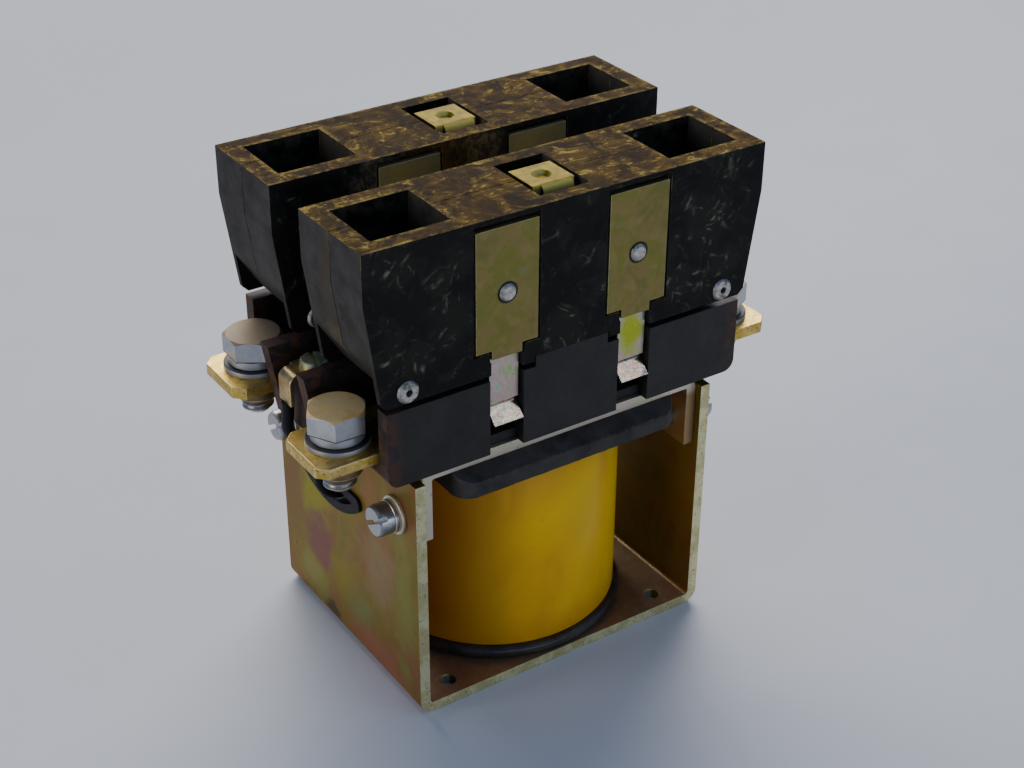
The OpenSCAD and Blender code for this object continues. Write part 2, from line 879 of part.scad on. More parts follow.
washers_top = bar_z + bar_t + flat_washer_t + spring_washer_t;

module terminal_bolts() {
    color(bright_steel) for (end = [0, 1], pole = [0, 1]) {
        translate([(2 * end - 1) * bolt_x, (2 * pole - 1) * pole_y, washers_top])
            rotate([0, 0, bolt_turns[pole][end]])
                hex_bolt(bolt_across, bolt_head_h, bolt_r, washers_top - bolt_low);
    }
}

module terminal_spring_washers() {
    color(bright_steel) at_terminals(bolt_x, washers_top - spring_washer_t)
        rotate([0, 0, 140]) split_ring(spring_washer_r, bolt_r + hole_play, spring_washer_t);
}

module terminal_flat_washers() {
    color(bright_steel) at_terminals(bolt_x, bar_z + bar_t) difference() {
        cylinder(r = flat_washer_r, h = flat_washer_t);
        translate([0, 0, -cut]) cylinder(r = bolt_r + snug, h = flat_washer_t + 2 * cut);
    }
}

module terminal_nuts() {
    chamfer = 0.6;
    color(zinc_yellow) at_terminals(bolt_x, bar_z - weld_nut_h) difference() {
        union() {
            cylinder(r1 = weld_nut_r - chamfer, r2 = weld_nut_r, h = chamfer);
            translate([0, 0, chamfer]) cylinder(r = weld_nut_r, h = weld_nut_h - chamfer);
        }
        translate([0, 0, -cut]) cylinder(r = bolt_r + hole_play, h = weld_nut_h + 2 * cut);
    }
}

// Arc chutes

module chute_outline(inset) {
    half = chute_len / 2 - inset;
    low = chute_low_half - inset;
    foot = low - chute_foot;
    polygon([
        [-foot, chute_low + inset], [foot, chute_low + inset], [low, chute_low + chute_foot + inset],
        [half, chute_knee_z], [half, chute_top - inset], [-half, chute_top - inset],
        [-half, chute_knee_z], [-low, chute_low + chute_foot + inset]
    ]);
}

// One arc chamber, from the contacts up and out to the pocket in the chute's top
module chamber_outline() {
    taper = chute_len / 2 - chute_low_half;
    difference() {
        polygon([
            [chamber_x, chute_low - cut], [chamber_x, chute_top + cut], [pocket_out, chute_top + cut],
            [pocket_out, chute_knee_z], [pocket_out - taper, chute_low - cut]
        ]);
        translate([0, nose_z]) square([pocket_in, chute_top]);
        translate([pocket_in - nose_r, nose_z]) circle(nose_r);
    }
}

// Where the end face of a chute lies at the height z below its knee
function end_face_x(z) =
    chute_low_half + (chute_len / 2 - chute_low_half) * (z - chute_low) / (chute_knee_z - chute_low);

// The end wall thins from its outer face down to its inner face, and is open below that
module doorway_outline() {
    inner_x = end_face_x(door_sill_z) - (chute_len / 2 - pocket_out);
    polygon([
        [end_face_x(door_z), door_z], [chute_len, door_z], [chute_len, chute_low - cut],
        [inner_x - cut, chute_low - cut], [inner_x - cut, door_sill_z], [inner_x, door_sill_z]
    ]);
}

module plate_outline(play) {
    half = plate_half + play;
    neck = neck_half + play;
    translate([contact_x - half, plate_low - play]) square([2 * half, plate_high - plate_low + 2 * play]);
    translate([contact_x - neck, neck_low - play]) square([2 * neck, plate_low - neck_low + 2 * play]);
}

// Half a chute, split at its middle plane. Its outer face looks to +Y.
module chute_half() {
    land = 2;
    color(brown_black) difference() {
        union() {
            across(chute_rim, face_d) chute_outline(0);
            across(0, chute_rim + chute_rim) chute_outline(land);
        }
        translate([-tongue_half - loose, -cut, chute_low - cut])
            cube([2 * tongue_half + 2 * loose, face_d + 2 * cut, tongue_z + hole_play - chute_low + cut]);
        translate([-well_x, -cut, chute_low]) cube([2 * well_x, well_d + cut, chute_top]);
        for (s = [-1, 1]) at_end(s) {
            across(-cut, pocket_d) chamber_outline();
            across(-cut, door_d) doorway_outline();
            across(face_d - plate_t, face_d + cut) plate_outline(plate_play);
            translate([contact_x - clip_w / 2 - loose, clip_recess, chute_low - cut])
                cube([clip_w + 2 * loose, face_d, clip_top + loose - chute_low + cut]);
            translate([contact_x, -cut, rivet_z]) rotate([-90, 0, 0])
                cylinder(r = rivet_r + hole_play, h = face_d + 2 * cut);
            translate([eyelet_x, -cut, eyelet_z]) rotate([-90, 0, 0])
                cylinder(r = eyelet_r + hole_play, h = face_d + 2 * cut);
        }
    }
}

module front_chute_outer_half() {
    seat(-1, -1) chute_half();
}

module front_chute_inner_half() {
    seat(-1, 1) chute_half();
}

module rear_chute_inner_half() {
    seat(1, -1) chute_half();
}

module rear_chute_outer_half() {
    seat(1, 1) chute_half();
}

// Rivets that hold both halves and the pole plates together
module plate_rivets() {
    dome = 0.9;
    crown = rivet_head_r - 0.7;
    color(bright_steel) for (end = [-1, 1], pole = [-1, 1]) {
        translate([end * contact_x, pole * pole_y, rivet_z]) rotate([-90, 0, 0]) {
            translate([0, 0, -face_d]) cylinder(r = rivet_r, h = 2 * face_d);
            for (turn = [0, 180]) rotate([turn, 0, 0]) {
                translate([0, 0, face_d]) cylinder(r1 = rivet_head_r, r2 = crown, h = dome);
            }
        }
    }
}

module chute_eyelets() {
    roll = 0.8;
    rim = eyelet_head_r - 0.6;
    color(bright_steel) for (end = [-1, 1], pole = [-1, 1]) {
        translate([end * eyelet_x, pole * pole_y, eyelet_z]) rotate([-90, 0, 0]) difference() {
            union() {
                translate([0, 0, -face_d]) cylinder(r = eyelet_r, h = 2 * face_d);
                for (turn = [0, 180]) rotate([turn, 0, 0]) {
                    translate([0, 0, face_d]) cylinder(r1 = eyelet_head_r, r2 = rim, h = roll);
                }
            }
            translate([0, 0, -face_d - 2 * cut]) cylinder(r = eyelet_bore, h = 2 * face_d + 4 * cut);
        }
    }
}

module pole_plates(pole, side) {
    color(zinc_olive) seat(pole, side) for (end = [-1, 1]) {
        at_end(end) difference() {
            across(face_d - plate_t, face_d) plate_outline(0);
            translate([contact_x, 0, rivet_z]) rotate([-90, 0, 0])
                cylinder(r = rivet_r + hole_play, h = face_d + cut);
        }
    }
}

module front_outer_plates() {
    pole_plates(-1, -1);
}

module front_inner_plates() {
    pole_plates(-1, 1);
}

module rear_inner_plates() {
    pole_plates(1, -1);
}

module rear_outer_plates() {
    pole_plates(1, 1);
}

// Spring strips that hook under the sill of the base moulding and end in a finger foot
module spring_clips(pole, side) {
    color(spring_steel) seat(pole, side) for (end = [-1, 1]) {
        at_end(end) difference() {
            along(contact_x - clip_w / 2, contact_x + clip_w / 2) polygon(strip_outline(clip_path, clip_t));
            translate([contact_x, 0, rivet_z]) rotate([-90, 0, 0])
                cylinder(r = rivet_r + hole_play, h = face_d + cut);
        }
    }
}

module front_outer_clips() {
    spring_clips(-1, -1);
}

module front_inner_clips() {
    spring_clips(-1, 1);
}

module rear_inner_clips() {
    spring_clips(1, -1);
}

module rear_outer_clips() {
    spring_clips(1, 1);
}

// Coil terminals, one block at each end between the poles

module terminal_block(end) {
    round_r = 3;
    length = block_out_x - block_in_x;
    color(smooth_black) at_end(end) difference() {
        translate([(block_in_x + block_out_x) / 2, 0, moulding_z])
            rounded_plate([length, 2 * block_half], round_r, block_top - moulding_z);
        translate([tab_screw_x, 0, block_top - tab_screw_len])
            cylinder(r = tab_screw_r + hole_play, h = tab_screw_len + cut);
    }
}

module left_terminal_block() {
    terminal_block(-1);
}

module right_terminal_block() {
    terminal_block(1);
}

module coil_tab(end) {
    top = block_top + tab_t;
    color(zinc_yellow) at_end(end) difference() {
        union() {
            translate([tab_in_x, -tab_half, block_top]) cube([block_out_x - tab_in_x, 2 * tab_half, tab_t]);
            across(-tab_leg_half, tab_leg_half) difference() {
                union() {
                    translate([block_out_x - cut, tab_leg_z])
                        square([tab_out_x - tab_bend - block_out_x + cut, top - tab_leg_z]);
                    translate([block_out_x, tab_leg_z])
                        square([tab_out_x - block_out_x, top - tab_bend - tab_leg_z]);
                    translate([tab_out_x - tab_bend, top - tab_bend]) circle(tab_bend);
                }
                translate([block_out_x - 2 * cut, tab_leg_z - cut])
                    square([tab_out_x - tab_bend - block_out_x + 2 * cut, block_top - tab_leg_z + cut]);
                translate([block_out_x - 2 * cut, tab_leg_z - cut])
                    square([tab_out_x - tab_t - block_out_x + 2 * cut, top - tab_bend - tab_leg_z + cut]);
                translate([tab_out_x - tab_bend, top - tab_bend]) circle(tab_bend - tab_t);
            }
        }
        translate([tab_screw_x, 0, block_top - cut]) cylinder(r = tab_screw_r + snug, h = tab_t + 2 * cut);
    }
}

module left_coil_tab() {
    coil_tab(-1);
}

module right_coil_tab() {
    coil_tab(1);
}

module coil_tab_screws() {
    color(zinc_yellow) for (end = [-1, 1]) {
        translate([end * tab_screw_x, 0, block_top + tab_t]) {
            rotate([0, 0, tab_slot_turn]) slotted_head(tab_head_r, tab_head_h, tab_slot_w);
            translate([0, 0, -tab_screw_len]) cylinder(r = tab_screw_r, h = tab_screw_len);
        }
    }
}

yoke_frame();
top_bracket();
side_screws();
side_spring_washers();
side_flat_washers();
fixed_core();
coil_bobbin();
coil_winding();
wall_grommets();
coil_lead_left();
coil_lead_right();
plunger();
return_spring();
crosshead();
crosshead_nut();
front_stirrup();
rear_stirrup();
stirrup_rivets();
front_contact_spring();
rear_contact_spring();
front_bridge();
rear_bridge();
front_bridge_tips();
rear_bridge_tips();
front_base_moulding();
rear_base_moulding();
moulding_screws();
front_left_terminal();
front_right_terminal();
rear_left_terminal();
rear_right_terminal();
fixed_contact_tips();
terminal_fixing_screws();
terminal_bolts();
terminal_spring_washers();
terminal_flat_washers();
terminal_nuts();
front_chute_outer_half();
front_chute_inner_half();
rear_chute_inner_half();
rear_chute_outer_half();
chute_eyelets();
plate_rivets();
front_outer_plates();
front_inner_plates();
rear_inner_plates();
rear_outer_plates();
front_outer_clips();
front_inner_clips();
rear_inner_clips();
rear_outer_clips();
left_terminal_block();
right_terminal_block();
left_coil_tab();
right_coil_tab();
coil_tab_screws();
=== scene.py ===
import bmesh
import bpy
import json
from math import pi, radians
from mathutils import Matrix, Vector, noise


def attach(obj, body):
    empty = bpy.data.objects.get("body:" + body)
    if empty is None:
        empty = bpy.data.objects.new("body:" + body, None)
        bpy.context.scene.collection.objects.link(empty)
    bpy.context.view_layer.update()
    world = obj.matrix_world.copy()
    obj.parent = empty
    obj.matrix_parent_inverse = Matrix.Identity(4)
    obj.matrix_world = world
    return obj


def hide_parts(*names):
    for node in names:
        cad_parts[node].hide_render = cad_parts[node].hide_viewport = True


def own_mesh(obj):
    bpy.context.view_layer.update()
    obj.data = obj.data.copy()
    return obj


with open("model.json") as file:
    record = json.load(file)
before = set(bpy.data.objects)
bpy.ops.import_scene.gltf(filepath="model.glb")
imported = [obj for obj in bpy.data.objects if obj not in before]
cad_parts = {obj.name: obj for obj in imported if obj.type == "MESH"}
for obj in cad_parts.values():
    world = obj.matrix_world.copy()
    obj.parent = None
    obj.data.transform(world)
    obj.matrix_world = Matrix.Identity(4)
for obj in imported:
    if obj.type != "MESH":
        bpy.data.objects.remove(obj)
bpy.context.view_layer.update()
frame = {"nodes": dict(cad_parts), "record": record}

MM = 0.001
BODY_OF = {
    node: body
    for body, nodes in frame["record"]["behaviour"]["bodies"].items()
    for node in nodes
}

# Places and sizes of the solids that the finishes and new pieces need, in millimetres

LEFT_WALL_X = -43
POLE_Y = 20.7
BOLT_X = 55
BOLTS = tuple((x, y) for x in (-BOLT_X, BOLT_X) for y in (-POLE_Y, POLE_Y))
BOLT_CHAMFER_Z = 65.4
CORE_TOP_Z = 69.25
THREAD_LOW_Z = 65.0
THREAD_TOP_Z = 69.2
THREAD_R = 3.95
THREAD_CORE_R = 3.3
THREAD_PITCH = 1.25
FLAT_WASHER_TOP_Z = 78.9
SPRING_WASHER_TOP_Z = 81.3
PLATE_RIVET_X = 18.1
PLATE_RIVET_Z = 110.8
CHUTE_HALF_LENGTH = 54.7
CHUTE_HALF_DEPTH = 13.7
POCKET_X = 39.7
POCKET_HALF_LENGTH = 10
POCKET_HALF_DEPTH = 9
PLATE_RECESS_TOP_Z = 127.75
FRONT_FACE_Y = -34.4
GAP_FACE_Y = 7

# Camera, solved from the photograph. The length of turn is its angle in radians.

camera_data = bpy.data.cameras.new("photo_camera")
camera_data.sensor_width = 36
camera_data.lens = 63.146
camera_data.clip_start = 0.01
camera_data.clip_end = 20
camera = bpy.data.objects.new("photo_camera", camera_data)
camera.location = (-0.21352, -0.32744, 0.29657)
camera.rotation_mode = "AXIS_ANGLE"
turn = Vector((1.00175490, -0.308375969, -0.531397070))
camera.rotation_axis_angle = (turn.length, turn.x, turn.y, turn.z)
bpy.context.scene.collection.objects.link(camera)
bpy.context.scene.camera = camera


# Shader maths

class Field:
    """A number that changes over a surface. Sums and products of fields add Math nodes."""

    def __init__(self, finish, socket):
        self.finish = finish
        self.socket = socket

    def __add__(self, other):
        return self.finish.math("ADD", self, other)

    def __sub__(self, other):
        return self.finish.math("SUBTRACT", self, other)

    def __mul__(self, other):
        return self.finish.math("MULTIPLY", self, other)

    def __rsub__(self, other):
        return self.finish.math("SUBTRACT", other, self)

    __radd__ = __add__
    __rmul__ = __mul__


class Finish:
    """A material of the contactor, made from nodes. Its lengths are in millimetres."""

    def __init__(self, name, **constants):
        self.material = bpy.data.materials.new(name)
        self.material.use_nodes = True
        self.tree = self.material.node_tree
        self.shader = self.tree.nodes["Principled BSDF"]
        for socket, value in constants.items():
            self.shader.inputs[socket.replace("_", " ")].default_value = value

    def feed(self, socket, value):
        if isinstance(value, Field):
            self.tree.links.new(value.socket, socket)
        elif isinstance(value, tuple) and len(value) == 3 and socket.type == "RGBA":
            socket.default_value = (*value, 1)
        else:
            socket.default_value = value

    def node(self, kind, settings, sockets, output=0):
        """Adds a node: its settings first, then the values or links of its sockets."""
        made = self.tree.nodes.new("ShaderNode" + kind)
        for key, value in settings.items():
            if key == "stops":
                ramp = made.color_ramp
                while len(ramp.elements) < len(value):
                    ramp.elements.new(0.5)
                for element, (place, shade) in zip(ramp.elements, value):
                    element.position = place
                    element.color = (*shade, 1)
            else:
                setattr(made, key, value)
        for key, value in sockets.items():
            self.feed(made.inputs[key], value)
        return Field(self, made.outputs[output])

    def math(self, operation, a, b=0.0):
        return self.node("Math", {"operation": operation}, {0: a, 1: b})

    def most(self, a, b):
        return self.math("MAXIMUM", a, b)

    def vector(self, operation, a, b=(0, 0, 0), output=0):
        return self.node("VectorMath", {"operation": operation}, {0: a, 1: b}, output)

    def place(self, stretch=(1, 1, 1), shift=(0, 0, 0)):
        """Where a point is on the object, in millimetres."""
        spot = self.node("TexCoord", {}, {}, "Object")
        scale = tuple(1000 * s for s in stretch)
        return self.node("Mapping", {}, {"Vector": spot, "Location": shift, "Scale": scale})

    def along(self, axis):
        """How far a point is along an axis of the object."""
        return self.node("SeparateXYZ", {}, {0: self.place()}, "XYZ".index(axis))

    def off_middle(self, axis):
        """How far a point is from the object's middle along an axis, on either side."""
        return self.math("ABSOLUTE", self.along(axis))

    def facing(self, axis):
        """How far the surface faces along an axis of the object, from -1 to 1."""
        side = self.node("TexCoord", {}, {}, "Normal")
        return self.node("SeparateXYZ", {}, {0: side}, "XYZ".index(axis))

    def step(self, value, low, high):
        """0 below low, 1 above high, smooth between them."""
        settings = {"interpolation_type": "SMOOTHSTEP"}
        return self.node("MapRange", settings, {"Value": value, "From Min": low, "From Max": high})

    def noise(self, size, detail=3.0, rough=0.55, bend=0.0, stretch=(1, 1, 1), shift=(0, 0, 0)):
        """Clouds about as large as size, from 0 to 1."""
        sockets = {
            "Vector": self.place(stretch, shift), "Scale": 1 / size, "Detail": detail,
            "Roughness": rough, "Distortion": bend,
        }
        return self.node("TexNoise", {}, sockets)

    def spots(self, low, high, *cloud, **laid):
        """1 where the clouds of noise() are thick, 0 where they are thin."""
        return self.step(self.noise(*cloud, **laid), low, high)

    def wear(self):
        """1 along the middle of a broken edge, 0 away from it."""
        return self.node("Attribute", {"attribute_name": "edge_wear"}, {}, "Fac")

    def blend(self, a, b, share):
        """From colour a to colour b."""
        settings = {"data_type": "RGBA", "clamp_factor": True}
        return self.node("Mix", settings, {0: share, 6: a, 7: b}, 2)

    def ramp(self, value, *stops):
        """Colours along a value. Each stop is a place and a colour."""
        return self.node("ValToRGB", {"stops": stops}, {0: value})

    def patch(self, centre, reach, stretch=(1, 1, 1), ragged=0.35):
        """1 round a point, 0 past the reach, with a ragged rim."""
        away = self.vector("MULTIPLY", self.vector("SUBTRACT", self.place(), centre), stretch)
        far = self.vector("LENGTH", away, output=1)
        far = far + (self.noise(0.7 * reach, shift=centre) - 0.5) * (4 * ragged * reach)
        return 1 - self.step(far, 0.35 * reach, 1.05 * reach)

    def fibres(self, turn, size, shift, tufts=6.0):
        """Fine fibres side by side in loose bent tufts. Turn lays them along a direction."""
        wave = {"Vector": self.place(shift=shift), "Scale": 0.11, "Detail": 1.0}
        bent = self.vector("MULTIPLY", self.node("TexNoise", {}, wave, 1), (8, 8, 8))
        spot = self.vector("ADD", self.place(shift=shift), bent)
        laid = {"Vector": spot, "Rotation": turn, "Scale": size}
        laid = self.node("Mapping", {"vector_type": "TEXTURE"}, laid)
        fine = {"Vector": laid, "Scale": 1.0, "Detail": 1.5, "Roughness": 0.5}
        fine = self.step(self.node("TexNoise", {}, fine), 0.56, 0.70)
        return fine * self.spots(0.52, 0.66, tufts, 3.0, 0.6, 0.6, shift=shift)

    def paint(self, colour, roughness, metallic=None):
        self.feed(self.shader.inputs["Base Color"], colour)
        self.feed(self.shader.inputs["Roughness"], roughness)
        if metallic is not None:
            self.feed(self.shader.inputs["Metallic"], metallic)

    def relief(self, height, depth, strength):
        """Bumps of the given depth."""
        sockets = {"Height": height, "Distance": depth * MM, "Strength": strength}
        self.feed(self.shader.inputs["Normal"], self.node("Bump", {}, sockets))


# Finishes of the metal parts

# Tints on the left wall's outer face: middle (y, z), reach, stretch (y, z), colour, share
WALL_TINTS = (
    ((17, 37), 10, (1, 0.8), (0.34, 0.30, 0.010), 0.9),
    ((3, 45), 9, (1, 1.2), (0.33, 0.24, 0.020), 0.7),
    ((30, 30), 9, (1.2, 0.5), (0.27, 0.14, 0.035), 0.7),
    ((16, 23), 10, (0.9, 1), (0.25, 0.095, 0.065), 0.95),
    ((19, 10), 8, (0.8, 1), (0.29, 0.26, 0.050), 0.9),
    ((3, 18), 7, (1, 0.8), (0.31, 0.22, 0.010), 0.8),
    ((-5, 13), 8, (1, 0.9), (0.24, 0.24, 0.060), 0.85),
    ((-12, 5), 9, (0.5, 1.1), (0.40, 0.15, 0.065), 0.9),
    ((-15, 33), 9, (0.8, 0.6), (0.34, 0.22, 0.095), 0.8),
    ((-11, 56), 6, (1, 0.7), (0.36, 0.16, 0.050), 0.7),
    ((-27, 30), 9, (1.6, 0.3), (0.26, 0.25, 0.045), 0.8),
)


def chromate_yellow():
    """Yellow chromate on folded sheet: olive brown, with patches of green, mauve and rose."""
    f = Finish("yellow_chromate", Metallic=0.8)
    clouds = f.noise(17, 3.0, 0.5, 1.0, stretch=(1, 1, 0.7), shift=(7, 3, 19))
    colour = f.ramp(
        clouds,
        (0.30, (0.20, 0.165, 0.020)),
        (0.44, (0.28, 0.19, 0.020)),
        (0.54, (0.27, 0.15, 0.028)),
        (0.64, (0.29, 0.13, 0.038)),
        (0.76, (0.25, 0.20, 0.025)),
    )
    wall = 1 - f.step(f.along("X"), LEFT_WALL_X, -30)
    for (y, z), reach, stretch, shade, share in WALL_TINTS:
        tint = f.patch((LEFT_WALL_X, y, z), reach, (0.2, *stretch))
        colour = f.blend(colour, shade, tint * wall * share)
    green = f.spots(0.54, 0.70, 13, 2.0, 0.5, 0.8, shift=(31, 11, 5))
    colour = f.blend(colour, (0.22, 0.22, 0.060), green * 0.4)
    stain = f.patch((LEFT_WALL_X, 10, 4.5), 3.2, (0.3, 0.7, 1))
    streaks = f.spots(0.62, 0.78, 4, 5.0, 0.65, 1.8, stretch=(1, 1.6, 0.6), shift=(3, 41, 2))
    colour = f.blend(colour, (0.10, 0.055, 0.022), f.most(stain * 0.8, streaks * 0.45))

    inner_floor = f.step(f.facing("Z"), 0.6, 0.9) * (1 - f.step(f.along("Z"), 3, 6))
    rosy = f.ramp(clouds, (0.36, (0.50, 0.33, 0.17)), (0.6, (0.42, 0.25, 0.15)))
    colour = f.blend(colour, rosy, inner_floor)
    dust = f.spots(0.46, 0.66, 3.5, 5.0, 0.68, 0.8, shift=(21, 9, 0))
    colour = f.blend(colour, (0.52, 0.42, 0.28), dust * inner_floor * 0.4)

    cut = f.step(0 - f.facing("Y"), 0.6, 0.9)
    pits = f.spots(0.58, 0.68, 0.8, 4.0, 0.6)
    sheared = f.blend((0.82, 0.77, 0.42), (0.64, 0.57, 0.27), f.spots(0.4, 0.6, 5))
    colour = f.blend(colour, f.blend(sheared, (0.13, 0.10, 0.05), pits * 0.7), cut)
    worn = f.wear() * f.spots(0.34, 0.56, 1.6)
    colour = f.blend(colour, (0.66, 0.62, 0.36), worn * 0.75)
    f.paint(colour, 0.40 + 0.16 * f.noise(5, 4.0) + 0.1 * streaks)
    f.relief(f.noise(0.5) + 0.5 * f.noise(6, 2.0) + 0.8 * pits * cut, 0.05, 0.4)
    return f


def zinc_pale():
    """Thin clear zinc with cream and rose tints, with painted shade and a painted brown reflection
    of the coil on the bracket's right leg.
    """
    f = Finish("pale_zinc", Metallic=0.8)
    colour = f.ramp(
        f.noise(6, 3.0, 0.55, 0.8),
        (0.34, (0.74, 0.69, 0.48)),
        (0.50, (0.76, 0.62, 0.50)),
        (0.66, (0.70, 0.67, 0.44)),
    )
    # Painted shade and a painted brown reflection of the coil on the bracket's right leg.
    shaded_right_leg = f.step(f.along("X"), 20, 32) * (1 - f.step(f.along("Z"), 64, 67))
    colour = f.blend(colour, (0.34, 0.20, 0.065), shaded_right_leg * 0.85)
    dull = f.spots(0.58, 0.72, 1.2, 4.0, 0.65)
    colour = f.blend(colour, (0.28, 0.23, 0.14), dull * 0.5)
    worn = f.wear() * f.spots(0.4, 0.6, 1.5)
    colour = f.blend(colour, (0.80, 0.76, 0.62), worn * 0.7)
    f.paint(colour, 0.36 + 0.22 * f.noise(3, 4.0))
    f.relief(f.noise(0.4), 0.04, 0.35)
    return f


def zinc_olive(name, pale=0.0):
    """The dull yellow olive of the pole plates, in soft blotches."""
    f = Finish(name, Metallic=0.7)
    clouds = f.noise(8, 2.0, 0.5, 0.5, shift=(5, 0, 2))
    colour = f.ramp(
        clouds,
        (0.30, (0.215, 0.190, 0.045)),
        (0.45, (0.285, 0.215, 0.065)),
        (0.56, (0.230, 0.215, 0.035)),
        (0.70, (0.260, 0.225, 0.080)),
    )
    warm = f.spots(0.5, 0.68, 4.5, 3.0, 0.55, 0.6, shift=(14, 3, 9))
    colour = f.blend(colour, (0.36, 0.25, 0.095), warm * 0.5)
    if pale:
        colour = f.blend(colour, (0.75, 0.62, 0.30), 0.5 * pale * (0.5 + clouds))
    specks = f.spots(0.60, 0.72, 0.6)
    colour = f.blend(colour, (0.16, 0.14, 0.06), specks * 0.35)
    # A near-black ring round each rivet head: dirt and painted shade in the gap.
    beside = f.off_middle("X") - PLATE_RIVET_X
    above = f.along("Z") - PLATE_RIVET_Z
    from_rivet = f.math("SQRT", beside * beside + above * above)
    colour = f.blend(colour, (0.020, 0.018, 0.012), 1 - f.step(from_rivet, 2.45, 2.95))
    worn = f.wear() * f.spots(0.30, 0.5, 1.2)
    colour = f.blend(colour, (0.66, 0.62, 0.40), worn)
    f.paint(colour, 0.44 + 0.16 * f.noise(2, 4.0))
    f.relief(f.noise(0.5), 0.03, 0.4)
    return f


def zinc_bright(name, tan, seams=(), soft=0.0):
    """Bright zinc, with a tan film on the faces that look up, painted shade on that film on the
    rear bolts, and grime and painted shade in seams at some heights.
    """
    f = Finish(name)
    clouds = f.noise(4.5, 3.0, 0.55, 0.6)
    colour = f.ramp(
        clouds,
        (0.35, (0.43, 0.425, 0.43)),
        (0.50, (0.51, 0.50, 0.49)),
        (0.68, (0.47, 0.46, 0.44)),
    )
    film = f.ramp(
        clouds,
        (0.34, (1.00, 0.56, 0.150)),
        (0.50, (1.00, 0.70, 0.240)),
        (0.66, (0.95, 0.66, 0.280)),
    )
    top = f.step(f.facing("Z"), 0.45, 0.9)
    # Painted shade: the tan film is darker on the rear bolts.
    film = f.blend(film, (0.20, 0.135, 0.075), f.step(f.along("Y"), 0, 10) * 0.85)
    colour = f.blend(colour, film, top * tan)
    grime = f.spots(0.62, 0.76, 1.1, 4.0, 0.65)
    colour = f.blend(colour, (0.14, 0.12, 0.09), grime * 0.45)
    worn = f.wear() * f.spots(0.3, 0.5, 2.2)
    colour = f.blend(colour, (0.95, 0.91, 0.80), worn * 0.8)
    # Grime and painted shade in the seams between the bolt head and the washers.
    for seam in seams:
        seam_dirt_and_shade = 1 - f.step(f.math("ABSOLUTE", f.along("Z") - seam), 0.12, 0.40)
        colour = f.blend(colour, (0.020, 0.021, 0.024), seam_dirt_and_shade * 0.9)
    rough = 0.24 + 0.14 * soft + 0.10 * f.noise(1.5, 4.0)
    metal = 1 - 0.3 * soft - 0.8 * tan * top
    f.paint(colour, rough + 0.2 * grime + 0.25 * tan * top, metal)
    f.relief(f.noise(0.3) + f.noise(1.5, 2.0), 0.012, 0.3)
    return f


def aluminium():
    """Soft grey metal of the rivets and eyelets, dented where they were closed."""
    f = Finish("rivet_metal", Metallic=0.9)
    colour = f.ramp(
        f.noise(1.2, 4.0, 0.6),
        (0.36, (0.20, 0.18, 0.15)),
        (0.48, (0.50, 0.455, 0.40)),
        (0.70, (0.74, 0.68, 0.60)),
    )
    f.paint(colour, 0.40 + 0.25 * f.noise(0.8, 4.0))
    f.relief(f.noise(1.1) + 0.4 * f.noise(0.3, 2.0), 0.22, 0.8)
    return f


def spring_steel():
    """Silvery strip with thin rainbow colours of rose, green and yellow."""
    f = Finish("rainbow_spring_steel", Metallic=1.0)
    colour = f.ramp(
        f.noise(4.0, 3.0, 0.6, 1.2, stretch=(1, 1, 0.8), shift=(17, 2, 6)),
        (0.30, (0.32, 0.54, 0.36)),
        (0.40, (0.60, 0.52, 0.44)),
        (0.48, (0.62, 0.38, 0.38)),
        (0.56, (0.58, 0.50, 0.38)),
        (0.64, (0.34, 0.52, 0.20)),
        (0.74, (0.68, 0.44, 0.46)),
    )
    right = f.step(f.along("X"), 8, 14)
    high = f.step(f.along("Z"), 83.5, 86.5)
    colour = f.blend(colour, (0.56, 0.58, 0.60), right * high * 0.6)
    lime = f.patch((PLATE_RIVET_X, FRONT_FACE_Y, 89), 6.0, (1.2, 0.3, 0.7), 0.25)
    colour = f.blend(colour, (0.44, 0.49, 0.015), lime * right * 0.95)
    speckle = f.noise(0.7)
    colour = f.blend(colour, (0.80, 0.80, 0.78), f.step(speckle, 0.55, 0.8) * 0.25)
    foot = 1 - f.step(f.along("Z"), 81.9, 82.5)
    foot_tint = f.ramp(
        f.noise(1.8, 3.0, 0.6, 1.0, shift=(2, 7, 4)),
        (0.30, (0.20, 0.18, 0.16)),
        (0.42, (0.72, 0.66, 0.50)),
        (0.50, (0.74, 0.40, 0.36)),
        (0.58, (0.44, 0.62, 0.36)),
        (0.70, (0.42, 0.34, 0.62)),
    )
    colour = f.blend(colour, foot_tint, foot)
    colour = f.blend(colour, (0.90, 0.89, 0.86), f.wear() * 0.6)
    f.paint(colour, 0.24 + 0.24 * f.noise(1.6) - 0.14 * foot)
    f.relief(speckle + 2 * f.noise(2.5, 2.0), 0.04, 0.5)
    return f


